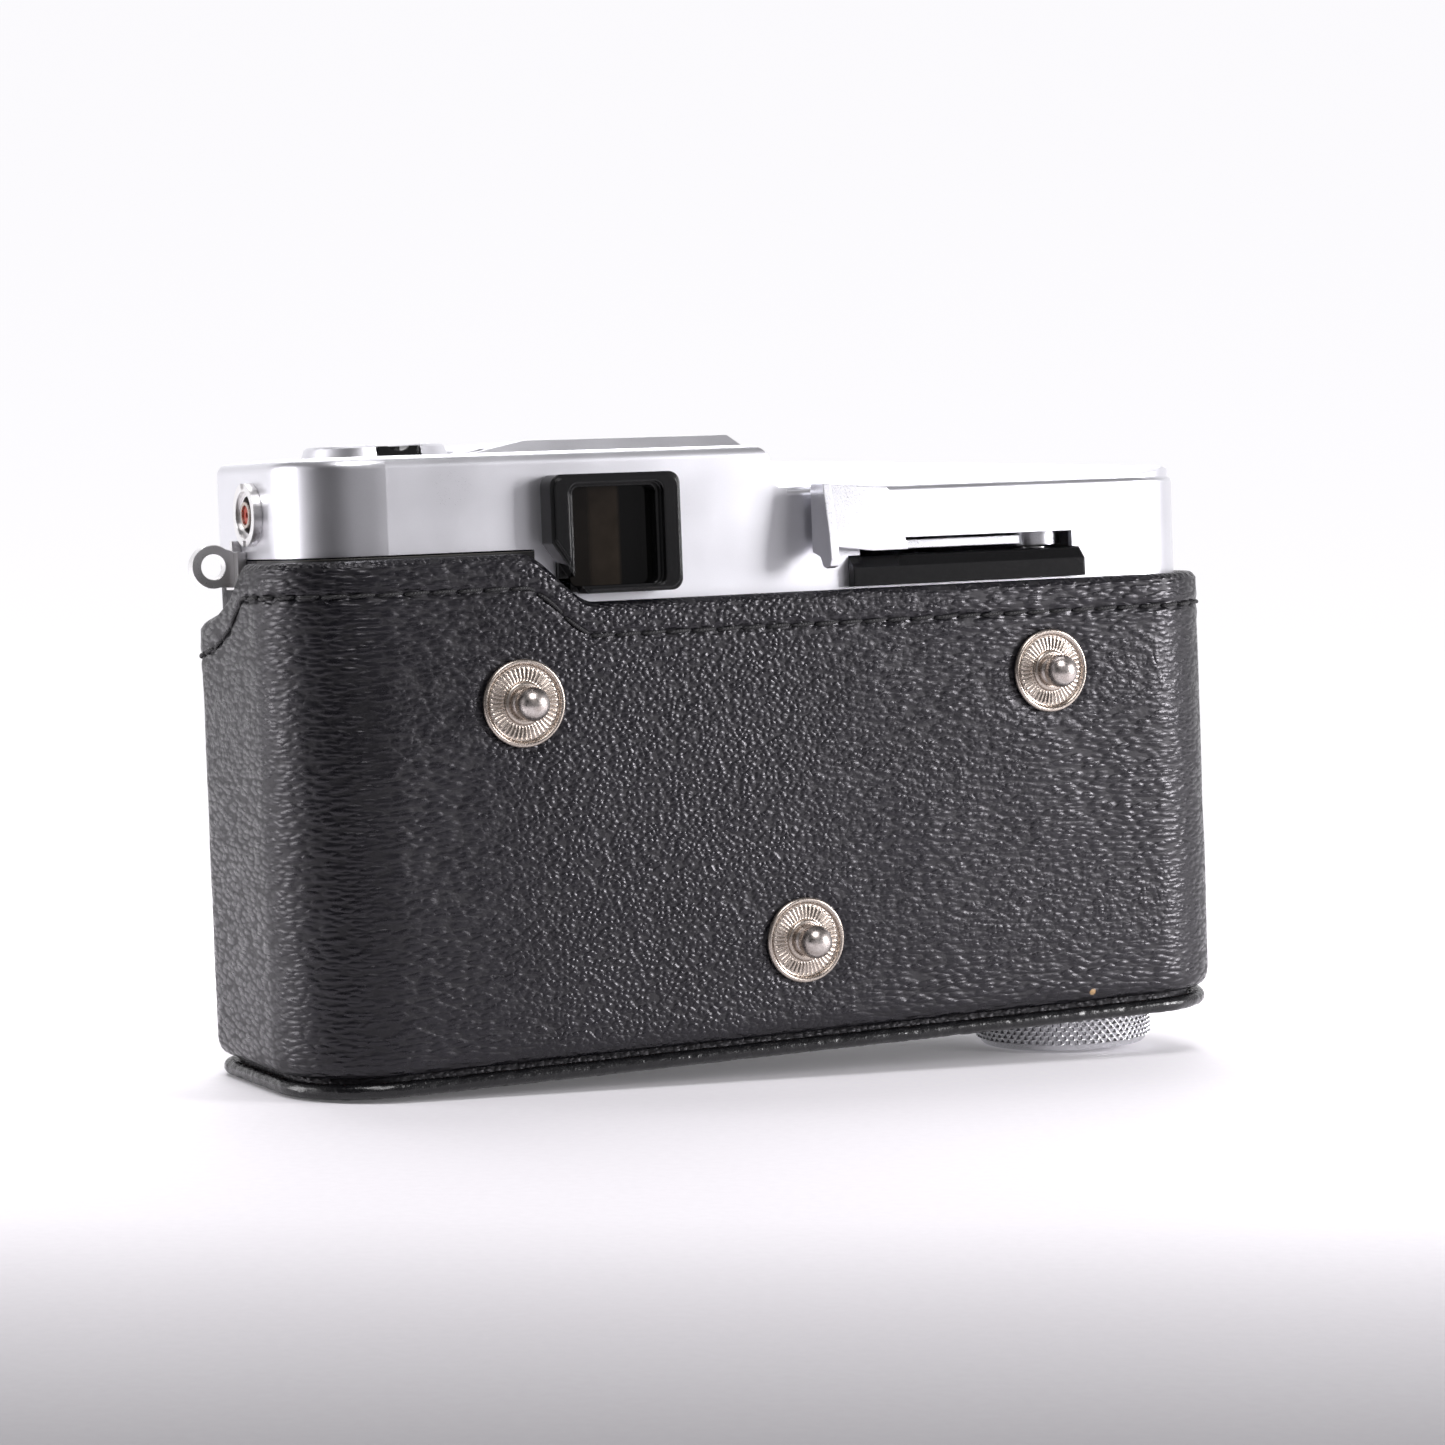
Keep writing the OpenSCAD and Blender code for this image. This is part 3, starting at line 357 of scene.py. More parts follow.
def edge_mask(tree, radius):
    """Near 1 along an edge's rounding, 0 on flat faces."""
    rounded = soft_edges(tree, radius)
    flat = add(tree, "ShaderNodeNewGeometry").outputs["Normal"]
    dot = add(tree, "ShaderNodeVectorMath", {0: rounded, 1: flat}, operation="DOT_PRODUCT").outputs["Value"]
    return fit(tree, sums(tree, "SUBTRACT", 1.0, dot), 0.02, 0.25)


def vertex_value(tree, name):
    return add(tree, "ShaderNodeAttribute", attribute_name=name).outputs["Fac"]


# ---------- materials ----------

def leather(name, colour, size=1.0, rough=0.44, on_wall=False):
    """Black leather: pebbled, with long creases across. On the case wall the mesh says how creased it is."""
    made, tree, shader = material(name)
    where = place(tree)
    pebble = domes(tree, warped(tree, place(tree, (1.35, 1.35, 1)), 1.8, 0.6), 0.62 * size)
    crease = domes(tree, warped(tree, place(tree, (3.2, 3.2, 1)), 1.6, 0.45), 0.62 * size)
    share = vertex_value(tree, "creased") if on_wall else 0.25
    relief = mix(tree, share, pebble, crease)
    lumps = noise(tree, place(tree, (1.6, 1.6, 1)), 0.8 * size, 2)
    fine = noise(tree, where, 0.3, 2)
    normal = bump(tree, relief, 0.13)
    normal = bump(tree, lumps, 0.06, 0.6, normal)
    normal = bump(tree, fine, 0.01, 0.5, normal)
    tree.links.new(normal, shader.inputs["Normal"])
    patches = noise(tree, where, 14, 3)
    dark, light = (grey([c * times for c in colour]) for times in (0.8, 1.25))
    base = mix(tree, fit(tree, patches, 0.3, 0.7), dark, light)
    # painted shade: the colour is darkened in the valleys of the grain
    base = mix(tree, fit(tree, relief, 0.0, 0.5, 0.6, 0.0), base, grey(0.003))
    if on_wall:
        # a nick near the wind end's lower corner shows the tan hide
        far = add(tree, "ShaderNodeVectorMath", {0: warped(tree, where, 0.5, 0.3), 1: NICK},
                  operation="DISTANCE").outputs["Value"]
        base = mix(tree, fit(tree, far, 0.4, 0.6, 1.0, 0.0), base, grey((0.42, 0.27, 0.13)))
    tree.links.new(base, shader.inputs["Base Color"])
    uneven = fit(tree, noise(tree, where, 2.2, 4), 0.3, 0.7, rough - 0.06, rough + 0.07)
    in_valleys = fit(tree, relief, 0.0, 0.6, 0.22, 0.0)
    tree.links.new(sums(tree, "ADD", uneven, in_valleys), shader.inputs["Roughness"])
    shader.inputs["Specular IOR Level"].default_value = 0.43
    shader.inputs["Specular Tint"].default_value = (0.97, 0.94, 1, 1)
    return made


def welt(name):
    """Thin leather rolled over a cord: shiny, with fine cross wrinkles."""
    made, tree, shader = material(name)
    where = place(tree)
    wrinkles = noise(tree, warped(tree, where, 1.2, 0.8), 0.5, 3)
    normal = bump(tree, wrinkles, 0.07, 0.8)
    tree.links.new(bump(tree, pores(tree, where, 0.4), 0.015, 0.5, normal), shader.inputs["Normal"])
    tone = ramp(tree, noise(tree, where, 7, 3), (0.3, (0.003, 0.003, 0.0035)), (0.7, (0.006, 0.006, 0.007)))
    tree.links.new(tone, shader.inputs["Base Color"])
    tree.links.new(fit(tree, wrinkles, 0.3, 0.7, 0.3, 0.16), shader.inputs["Roughness"])
    return made


def metal(name, colour, rough, grain=0.1, depth=0.006, soil=0.12, edge=0.12, stretch=(1, 1, 1)):
    """Metal with a fine surface grain, slightly uneven gloss and rounded edges."""
    made, tree, shader = material(name)
    where = place(tree, stretch)
    fine = noise(tree, where, grain, 2, 0.7)
    broad = noise(tree, place(tree), 9, 4)
    shade = fit(tree, broad, 0.25, 0.75, 1 - soil, 1.0)
    tone = mix(tree, shade, grey([c * 0.8 for c in colour]), grey(colour))
    tree.links.new(mix(tree, fit(tree, fine, 0.35, 0.65, 0.0, 0.25), tone, grey([c * 0.86 for c in colour])),
                   shader.inputs["Base Color"])
    shader.inputs["Metallic"].default_value = 1.0
    tree.links.new(sums(tree, "ADD", fit(tree, fine, 0.3, 0.7, rough - 0.03, rough + 0.05),
                        fit(tree, broad, 0.3, 0.7, 0.0, 0.04)), shader.inputs["Roughness"])
    tree.links.new(bump(tree, fine, depth, 0.6, soft_edges(tree, edge)), shader.inputs["Normal"])
    return made


def worn_nickel(name, colour, dark, rough, amount):
    """Plated brass that has darkened in its hollows."""
    made, tree, shader = material(name)
    where = place(tree)
    broad = noise(tree, where, 1.6, 5, 0.62)
    speck = noise(tree, where, 0.25, 4)
    worn = sums(tree, "MULTIPLY", fit(tree, broad, 0.38, 0.68), amount)
    tone = mix(tree, worn, grey(colour), grey(dark))
    tone = mix(tree, fit(tree, speck, 0.55, 0.75, 0.0, 0.3), tone, grey([c * 0.5 for c in dark]))
    tree.links.new(tone, shader.inputs["Base Color"])
    shader.inputs["Metallic"].default_value = 1.0
    tree.links.new(fit(tree, speck, 0.3, 0.7, rough - 0.05, rough + 0.12), shader.inputs["Roughness"])
    tree.links.new(bump(tree, speck, 0.004, 0.5), shader.inputs["Normal"])
    return made


def enamel(name, colour, rough, edge=0.15, wear=(0.05, 0.05, 0.055), grain=0.5, depth=0.01):
    """Black paint or moulding: faint orange peel, dust, and lighter along its edges."""
    made, tree, shader = material(name)
    where = place(tree)
    peel = noise(tree, where, grain, 2)
    dust = noise(tree, where, 0.35, 5, 0.7)
    edges = edge_mask(tree, edge)
    dusty = grey([c * 3 + 0.01 for c in colour])
    tone = mix(tree, fit(tree, dust, 0.62, 0.8, 0.0, 0.25), grey(colour), dusty)
    tree.links.new(mix(tree, edges, tone, grey(wear)), shader.inputs["Base Color"])
    tree.links.new(fit(tree, dust, 0.35, 0.75, rough, rough + 0.12), shader.inputs["Roughness"])
    tree.links.new(bump(tree, peel, depth, 0.4, soft_edges(tree, edge)), shader.inputs["Normal"])
    return made


def felt(name, colour):
    """Short tangled fibres with a sheen."""
    made, tree, shader = material(name)
    where = place(tree)
    fibre = noise(tree, warped(tree, where, 0.6, 1.0), 0.25, 5, 0.75)
    tree.links.new(ramp(tree, fibre, (0.3, [c * 0.45 for c in colour]), (0.7, [c * 1.4 for c in colour])),
                   shader.inputs["Base Color"])
    tree.links.new(fit(tree, fibre, 0.3, 0.7, 1.0, 0.85), shader.inputs["Roughness"])
    shader.inputs["Sheen Weight"].default_value = 0.5
    shader.inputs["Sheen Roughness"].default_value = 0.4
    tree.links.new(bump(tree, fibre, 0.12), shader.inputs["Normal"])
    return made


def glass(name, colour, transmission, tint):
    """Coated glass, with dust and faint smears."""
    made, tree, shader = material(name)
    where = place(tree)
    smear = noise(tree, where, 5, 4)
    dim = grey([c * 0.8 for c in colour])
    tree.links.new(mix(tree, fit(tree, smear, 0.35, 0.7, 0.0, 0.35), grey(colour), dim),
                   shader.inputs["Base Color"])
    tree.links.new(fit(tree, smear, 0.4, 0.75, 0.01, 0.07), shader.inputs["Roughness"])
    shader.inputs["Transmission Weight"].default_value = transmission
    shader.inputs["IOR"].default_value = 1.52
    shader.inputs["Coat Weight"].default_value = 0.6
    shader.inputs["Coat Tint"].default_value = grey(tint)
    shader.inputs["Coat Roughness"].default_value = 0.03
    return made


def finder_lens(name):
    """Dark lens with the beam splitter's light painted in it as a brown strip."""
    made, tree, shader = material(name)
    across = add(tree, "ShaderNodeSeparateXYZ", {"Vector": place(tree)}).outputs["X"]
    # painted light: the brown strip across the lens
    strip = ramp(tree, fit(tree, across, STRIP_RIGHT - 1.0, STRIP_LEFT + 1.0), (0.1, 0.0), (0.2, 1.0),
                 (0.8, 0.75), (0.92, 0.25))
    cloud = noise(tree, place(tree), 3, 3)
    brown = mix(tree, fit(tree, cloud, 0.3, 0.7), grey((0.012, 0.009, 0.006)), grey((0.02, 0.015, 0.011)))
    tree.links.new(mix(tree, strip, grey(0.002), brown), shader.inputs["Base Color"])
    tree.links.new(fit(tree, cloud, 0.3, 0.7, 0.04, 0.08), shader.inputs["Roughness"])
    shader.inputs["Specular IOR Level"].default_value = 0.25
    return made


def thread_cord(name):
    """Black linen thread with its strands wound slantwise."""
    made, tree, shader = material(name)
    wave = {"Vector": place(tree), "Scale": 1.6, "Distortion": 1.5, "Detail": 2.0}
    strands = add(tree, "ShaderNodeTexWave", wave, bands_direction="DIAGONAL").outputs["Fac"]
    tone = ramp(tree, strands, (0.2, 0.006), (0.8, (0.022, 0.021, 0.024)))
    tree.links.new(tone, shader.inputs["Base Color"])
    tree.links.new(fit(tree, strands, 0.2, 0.8, 0.8, 0.55), shader.inputs["Roughness"])
    tree.links.new(bump(tree, strands, 0.05), shader.inputs["Normal"])
    return made


def finish_for(slot):
    """The material that stands for one of the record's slots."""
    made = {
        "case_leather": lambda: leather("base_leather", (0.016, 0.016, 0.018)),
        "leatherette": lambda: leather(slot, (0.014, 0.014, 0.015), size=1.3, rough=0.5),
        "welt_leather": lambda: welt(slot),
        "felt": lambda: felt(slot, (0.12, 0.045, 0.035)),
        "screw_metal": lambda: metal(slot, (0.74, 0.74, 0.76), 0.24, grain=0.12, depth=0.01),
        "brass": lambda: metal(slot, (0.72, 0.53, 0.24), 0.3),
        "spring_brass": lambda: metal(slot, (0.68, 0.55, 0.32), 0.28),
        "steel": lambda: metal(slot, (0.55, 0.55, 0.56), 0.3, grain=0.15, depth=0.004),
        "blade_steel": lambda: metal(slot, (0.16, 0.16, 0.18), 0.35),
        "polished_steel": lambda: metal(slot, (0.86, 0.85, 0.85), 0.28, grain=0.2, depth=0.004, soil=0.1,
                                        edge=0.2),
        "cast_metal_bright": lambda: metal(slot, (0.6, 0.6, 0.61), 0.34),
        "satin_chrome": lambda: metal(slot, (0.80, 0.80, 0.84), 0.3, grain=0.13, depth=0.012, soil=0.06,
                                      edge=0.1),
        "lever_chrome": lambda: metal(slot, (0.82, 0.82, 0.86), 0.27, grain=0.13, depth=0.008, soil=0.05,
                                      edge=0.25),
        "lens_alloy": lambda: metal(slot, (0.74, 0.74, 0.76), 0.3, grain=0.1, depth=0.006, soil=0.08,
                                    edge=0.15, stretch=(1, 12, 1)),
        "mirror": lambda: metal(slot, (0.9, 0.9, 0.91), 0.03, grain=0.3, depth=0.0005, soil=0.02, edge=0.05),
        "nickel": lambda: worn_nickel(slot, (0.52, 0.46, 0.41), (0.36, 0.30, 0.25), 0.26, 0.3),
        "tarnished_nickel": lambda: worn_nickel(slot, (0.66, 0.61, 0.58), (0.36, 0.31, 0.28), 0.27, 0.8),
        "cast_alloy": lambda: enamel(slot, (0.03, 0.03, 0.032), 0.5, edge=0.3, wear=(0.2, 0.2, 0.2),
                                     grain=0.3, depth=0.05),
        "black_paint": lambda: enamel(slot, (0.012, 0.012, 0.012), 0.34, edge=0.2, wear=(0.12, 0.11, 0.09)),
        "gloss_black": lambda: enamel(slot, (0.003, 0.003, 0.0033), 0.09, edge=0.35,
                                      wear=(0.01, 0.01, 0.011), grain=1.5),
        "matt_black": lambda: enamel(slot, (0.012, 0.012, 0.012), 0.6),
        "black_anodised": lambda: enamel(slot, (0.012, 0.012, 0.014), 0.32, wear=(0.16, 0.16, 0.16),
                                         grain=0.2),
        "red_insulator": lambda: enamel(slot, (0.42, 0.05, 0.025), 0.42, edge=0.05, wear=(0.5, 0.12, 0.07)),
        "finder_glass": lambda: finder_lens(slot),
        "coated_glass": lambda: glass(slot, (0.85, 0.75, 0.5), 0.5, (0.9, 0.7, 0.4)),
        "clear_glass": lambda: glass(slot, (0.93, 0.95, 0.96), 0.95, (0.8, 0.85, 1.0)),
        "lens_glass": lambda: glass(slot, (0.95, 0.93, 0.97), 0.95, (0.5, 0.35, 0.8)),
    }
    return made[slot]()


finishes = {}


def finish(slot):
    if slot not in finishes:
        finishes[slot] = finish_for(slot)
    return finishes[slot]


def finish_cad():
    for part in frame["record"]["subparts"]:
        thing = frame["nodes"][part["node"]]
        made = finish(part["material_slot"])
        if thing.material_slots:
            for holder in thing.material_slots:
                holder.material = made
        else:
            thing.data.materials.append(made)


# ---------- meshes ----------

def piece(name, mesh, body, made, slot, *replaced):
    """Hangs a mesh on a body, in place of the CAD nodes that are named last."""
    thing = bpy.data.objects.new(name, mesh)
    bpy.context.collection.objects.link(thing)
    mesh.materials.append(made)
    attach(thing, body)
    if replaced:
        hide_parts(*replaced)


def smooth_mesh(name, points, faces):
    """A smooth mesh from points in millimetres."""
    mesh = bpy.data.meshes.new(name)
    mesh.from_pydata((points * MM).tolist(), [], faces)
    mesh.shade_smooth()
    return mesh


def grid_mesh(name, points, wrap_rows=False):
    """A mesh from points[row, column, xyz], where each row is a closed loop."""
    rows, columns = points.shape[:2]
    row = np.arange(rows if wrap_rows else rows - 1)[:, None]
    column = np.arange(columns)[None, :]
    below, after = (row + 1) % rows, (column + 1) % columns
    faces = np.stack([row * columns + column, row * columns + after, below * columns + after,
                      below * columns + column], -1).reshape(-1, 4)
    return smooth_mesh(name, points.reshape(-1, 3), faces.tolist())


def close_ends(mesh, rows, columns):
    """Caps the first and the last row of a grid."""
    work = bmesh.new()
    work.from_mesh(mesh)
    work.verts.ensure_lookup_table()
    for start in (0, (rows - 1) * columns):
        work.faces.new([work.verts[start + c] for c in range(columns)])
    work.to_mesh(mesh)
    work.free()


def face_outward(mesh):
    work = bmesh.new()
    work.from_mesh(mesh)
    bmesh.ops.recalc_face_normals(work, faces=work.faces)
    work.to_mesh(mesh)
    work.free()


def round_the_case(points, outward, inset, z):
    """Points of rows that go round the case: the plan moved in by inset, at heights z."""
    grid = np.empty(z.shape + (3,))
    grid[..., :2] = points[None] - outward[None] * inset[..., None]
    grid[..., 2] = z
    return grid


def hash_of(i, j, seed):
    n = np.sin(i * 127.1 + j * 311.7 + seed * 74.7) * 43758.5453
    return n - np.floor(n)


def smooth_noise(u, v, seed):
    """Value noise from 0 to 1, with one blot to a unit of u and v."""
    i, j = np.floor(u), np.floor(v)
    a, b = u - i, v - j
    a, b = a * a * (3 - 2 * a), b * b * (3 - 2 * b)
    low = hash_of(i, j, seed) * (1 - a) + hash_of(i + 1, j, seed) * a
    high = hash_of(i, j + 1, seed) * (1 - a) + hash_of(i + 1, j + 1, seed) * a
    return low * (1 - b) + high * b


def waver(u, v, seed):
    """Value noise from -0.5 to 0.5."""
    return smooth_noise(u, v, seed) - 0.5


def cell_gap(u, v, seed):
    """0 on the borders between irregular cells, rising towards their middles."""
    first = np.full(u.shape, 9.0)
    second = np.full(u.shape, 9.0)
    ui, vi = np.floor(u), np.floor(v)
    for di in (-1, 0, 1):
        for dj in (-1, 0, 1):
            i, j = ui + di, vi + dj
            far = np.hypot(i + hash_of(i, j, seed) - u, j + hash_of(i, j, seed + 5) - v)
            second = np.minimum(second, np.maximum(first, far))
            first = np.minimum(first, far)
    return second - first


def step_up(value, low, high):
    """0 below low, 1 above high, and smooth between."""
    t = np.clip((value - low) / (high - low), 0, 1)
    return t * t * (3 - 2 * t)


def bell(value, width):
    """1 where value is 0, fading out over width."""
    return np.exp(-(value / width) ** 2)


# ---------- the case's outline ----------

def arc(centre, radius, start, end, pitch):
    steps = max(2, int(abs(end - start) * radius / pitch))
    angles = np.linspace(start, end, steps, endpoint=False)
    out = np.stack([np.cos(angles), np.sin(angles)], -1)
    return centre + radius * out, out


def straight(start, end, out, pitch):
    start, end = np.array(start), np.array(end)
    steps = max(1, int(np.linalg.norm(end - start) / pitch))
    t = np.linspace(0, 1, steps, endpoint=False)[:, None]
    return start + (end - start) * t, np.repeat([out], steps, 0)


def case_loop(inset, pitch, cuts=()):
    """Round the case in plan from the middle of its front, anticlockwise.

    Gives the points, the outward directions and the lengths along the loop. Columns stand close together
    between the two cuts, where the edge drops steeply beside the lens.
    """
    half, front, back = CASE_HALF - inset, CASE_FRONT + inset, CASE_BACK - inset
    r_front, r_back = CORNER_FRONT - inset, CORNER_BACK - inset
    right = math.pi / 2
    stops = [0.0] + list(cuts) + [half - r_front]
    spans = list(zip(stops[:-1], stops[1:]))

    def front_run(start, end):
        close = abs(end - start) < CLOSE_SPAN
        return straight((start, front), (end, front), (0, -1), CLOSE_PITCH if close else pitch)

    runs = [front_run(near, far) for near, far in spans]
    runs += [arc((half - r_front, front + r_front), r_front, -right, 0, pitch),
             straight((half, front + r_front), (half, back - r_back), (1, 0), pitch),
             arc((half - r_back, back - r_back), r_back, 0, right, pitch),
             straight((half - r_back, back), (-(half - r_back), back), (0, 1), pitch),
             arc((-(half - r_back), back - r_back), r_back, right, 2 * right, pitch),
             straight((-half, back - r_back), (-half, front + r_front), (-1, 0), pitch),
             arc((-(half - r_front), front + r_front), r_front, 2 * right, 3 * right, pitch)]
    runs += [front_run(-far, -near) for near, far in reversed(spans)]
    points = np.concatenate([run[0] for run in runs])
    outward = np.concatenate([run[1] for run in runs]).astype(float)
    steps = np.linalg.norm(np.roll(points, -1, 0) - points, axis=1)
    return points, outward, np.concatenate([[0], np.cumsum(steps)[:-1]])


def by_lens(x, y, margin):
    """Whether a place is on the front wall, in the lens opening or less than margin beside it."""
    return (np.abs(x) < OPENING_R + margin) & (y < CASE_FRONT + FRONT_DEPTH)


def edge_height(x, y):
    """Top edge of the leather: low behind the finder, a dip at each end, and open round the lens."""
    back = EDGE_LOW + (EDGE_HIGH - EDGE_LOW) * step_up(x, RISE_FROM, RISE_TO)
    side = np.interp(y, DIP_Y, DIP_Z)
    edge = np.minimum(back, side)
    across = np.abs(x)
    bowl = LENS_Z - np.sqrt(np.maximum(OPENING_R ** 2 - across ** 2, 0))
    slant = LENS_Z + (EDGE_FRONT - LENS_Z) * np.clip((across - OPENING_R) / OPENING_SLANT, 0, 1)
    opening = np.where(across < OPENING_R, bowl, slant)
    return np.where(by_lens(x, y, OPENING_SLANT), np.minimum(edge, opening), edge)


# ---------- leather wall, with its seam ----------

def stitch_places(points, lengths):
    """Lengths along the edge at which the thread goes in. There is no seam at the lens opening."""
    last = lengths[-1]
    count = int(last / STITCH_PITCH)
    at = (np.arange(count) + 0.5) * last / count
    x = np.interp(at, lengths, points[:, 0])
    y = np.interp(at, lengths, points[:, 1])
    return at[~by_lens(x, y, 5)]


def leather_relief(points, lengths, z, edge):
    """How far the leather stands out of its plane, in millimetres, and how creased it is, from 0 to 1."""
    x, y, s = (row[None, :] + 0 * z for row in (points[:, 0], points[:, 1], lengths))
    # long creases at both ends, pebbles between, and both fainter near the foot
    ends = np.maximum(step_up(x, 30, 52), step_up(-x, -14, 24))
    creased = np.clip(ends * (0.85 + 0.5 * waver(s / 14, z / 11, 3)), 0, 1)
    grained = step_up(z, WALL_BOTTOM + 2, WALL_BOTTOM + 9)
    u = s + 1.1 * waver(s / 2.3, z / 2.1, 1)
    v = z + 0.9 * waver(s / 2.7, z / 1.8, 2) + 1.6 * waver(s / 16, z / 12, 8)
    pebble_valley = bell(cell_gap(u / 1.7, v / 1.4, 11), 0.3)
    crease_valley = bell(cell_gap(u / 5.6, v / 1.5, 17), 0.25)
    relief = -PEBBLE_DEPTH * pebble_valley * (1 - creased) - CREASE_DEPTH * crease_valley * creased
    relief += SWELL * waver(s / 9, z / 7, 21) * grained
    relief *= 0.25 + 0.75 * grained
    # the seam's groove with a swelling on each side, and the holes that the thread is pulled into
    below = edge[None, :] - STITCH_DROP - z
    sewn = ~by_lens(x, y, 4)
    groove = bell(below, 0.55) * sewn
    relief = relief * (1 - 0.6 * groove) - GROOVE_DEPTH * groove
    holes = stitch_places(points, lengths)
    nearest = np.abs(lengths[:, None] - holes[None, :]).min(1)[None, :] + 0 * z
    relief -= HOLE_DEPTH * bell(nearest, 0.42) * bell(below, 0.5) * sewn
    relief += 0.1 * bell(np.abs(below) - 1.3, 0.8) * sewn
    # pressed down round the snaps
    on_back = y > CASE_BACK - 1
    for snap_x, snap_z in SNAPS:
        far = np.hypot(x - snap_x, z - snap_z)
        pressed = relief * step_up(far, RING_R - 0.6, RING_R + 1.5) - GROOVE_DEPTH * bell(far - RING_R, 1.1)
        relief = np.where(on_back, pressed, relief)
    # calm beside the cuts for the lens
    relief = np.where(by_lens(x, y, 2.5), relief * 0.2, relief)
    return relief, np.clip(creased + 0.25 * (1 - grained), 0, 1)


def wall_outside(edge):
    """Heights and insets of the rows up the outside, and the number of the row just below the seam."""
    high = edge - WALL_BOTTOM
    # (inset, height) of the rows that curve in over the welt
    foot = [(BASE_IN, 0.0), (1.25, 0.1), (0.75, 0.42), (0.35, 0.95), (0.12, 1.6), (0.0, FOOT_HIGH)]
    heights = [WALL_BOTTOM + up * np.minimum(1, high / SHORT_WALL) for _, up in foot]
    insets = [inset + 0 * edge for inset, _ in foot]
    # plain rows, then rows that follow the edge, closer together at the seam
    band = np.minimum(SEAM_BAND, high * 0.45)
    for t in np.linspace(0, 1, 106)[1:-1]:
        heights.append((WALL_BOTTOM + FOOT_HIGH) * (1 - t) + (edge - band) * t)
    drops = [*np.arange(0.9, 3.2, 0.55), *np.arange(3.4, 5.8, 0.3), *np.arange(6.1, 8.01, 0.45)][::-1]
    below_seam = len(heights) + drops.index(6.1)
    for drop in drops:
        heights.append(edge - drop * band / SEAM_BAND)
    insets += [0 * edge] * (len(heights) - len(foot))
    return np.array(heights), np.array(insets), below_seam


def wall_inside(edge, top_inset):
    """Rows of the skin that is turned over the edge, and of the wall's inside."""
    high = edge - WALL_BOTTOM
    # (drop, inset) over the lip
    lip = [(0.62, 0.22), (0.28, 0.5), (0.06, 0.85), (0.0, 1.2), (0.06, 1.6), (0.3, 1.95), (0.7, 2.2)]
    heights = [edge - drop * np.minimum(1, high / SHORT_WALL) for drop, _ in lip]
    insets = [top_inset * (1 - inset / LEATHER) + inset for _, inset in lip]
    heights += [edge - 6 * np.minimum(1, high / 60), WALL_BOTTOM + high * 0.5, WALL_BOTTOM + 0.9 + 0 * edge,
                WALL_BOTTOM + 0.05 + 0 * edge]
    insets += [LEATHER + 0 * edge] * 3 + [LEATHER - 0.1 + 0 * edge]
    return np.array(heights), np.array(insets)


def case_wall_piece():
    points, outward, lengths = case_loop(0, 0.5, (OPENING_R - 0.6, OPENING_R + OPENING_SLANT))
    edge = edge_height(points[:, 0], points[:, 1])
    z, inset, below_seam = wall_outside(edge)
    relief, creased = leather_relief(points, lengths, z, edge)
    pulled_in = 0.03 + 0.15 * step_up(z, 24, EDGE_HIGH)
    inset = np.maximum(inset + pulled_in - relief, 0.0)
    inner_z, inner_inset = wall_inside(edge, inset[-1])
    all_z = np.concatenate([z, inner_z])
    all_inset = np.concatenate([inset, inner_inset])
    mesh = grid_mesh("leather_wall", round_the_case(points, outward, all_inset, all_z), wrap_rows=True)
    face_outward(mesh)
    share = np.zeros(all_z.shape)
    share[:len(creased)] = creased
    mesh.attributes.new("creased", "FLOAT", "POINT").data.foreach_set("value", share.ravel())
    made = leather("case_leather", (0.005, 0.0048, 0.0065), rough=0.29, on_wall=True)
    piece("leather_wall", mesh, "half_case", made, "case_leather", "case_wall")
    stitching(points, outward, lengths, edge, inset[below_seam])


def unit(vectors):
    return vectors / np.linalg.norm(vectors, axis=1)[:, None]


def stitching(points, outward, lengths, edge, inset):
    """Thread from hole to hole, each stitch a short arched cord that dives into the leather."""
    sides, rings, radius = 8, 9, 0.26
    t = np.linspace(0.06, 0.94, rings)
    girth = radius * (0.72 + 0.28 * np.sin(math.pi * t))
    turn = np.arange(sides) * TAU / sides
    cos, sin = np.cos(turn)[None, :, None], np.sin(turn)[None, :, None]
    verts, faces = [], []
    for start in stitch_places(points, lengths):
        s = start + t * STITCH_PITCH
        x, y, out_x, out_y, top, skin = (np.interp(s, lengths, row) for row in (
            points[:, 0], points[:, 1], outward[:, 0], outward[:, 1], edge, inset))
        if by_lens(x[-1], y[-1], 4.5):
            continue
        out = unit(np.stack([out_x, out_y], -1))
        lift = 0.02 - skin - 0.6 * np.abs(2 * t - 1) ** 3
        z = top - STITCH_DROP + 0.22 * (t - 0.5)
        centre = np.stack([x + out[:, 0] * lift, y + out[:, 1] * lift, z], -1)
        along = unit(np.gradient(centre, axis=0))
        outer = np.concatenate([out, np.zeros((rings, 1))], 1)
        outer = unit(outer - (outer * along).sum(1)[:, None] * along)
        across = np.cross(along, outer)
        base = len(verts) * rings * sides
        verts.append(centre[:, None] + girth[:, None, None] * (cos * outer[:, None] + sin * across[:, None]))
        for ring in range(base, base + (rings - 1) * sides, sides):
            faces += [(ring + a, ring + b, ring + sides + b, ring + sides + a)
                      for a, b in zip(range(sides), [*range(1, sides), 0])]
        faces.append(tuple(reversed(range(base, base + sides))))
        faces.append(tuple(range(base + (rings - 1) * sides, base + rings * sides)))
    mesh = smooth_mesh("case_stitching", np.array(verts).reshape(-1, 3), faces)
    face_outward(mesh)
    piece("case_stitching", mesh, "half_case", thread_cord("linen_thread"), "case_leather")


# ---------- lining, base and welt ----------

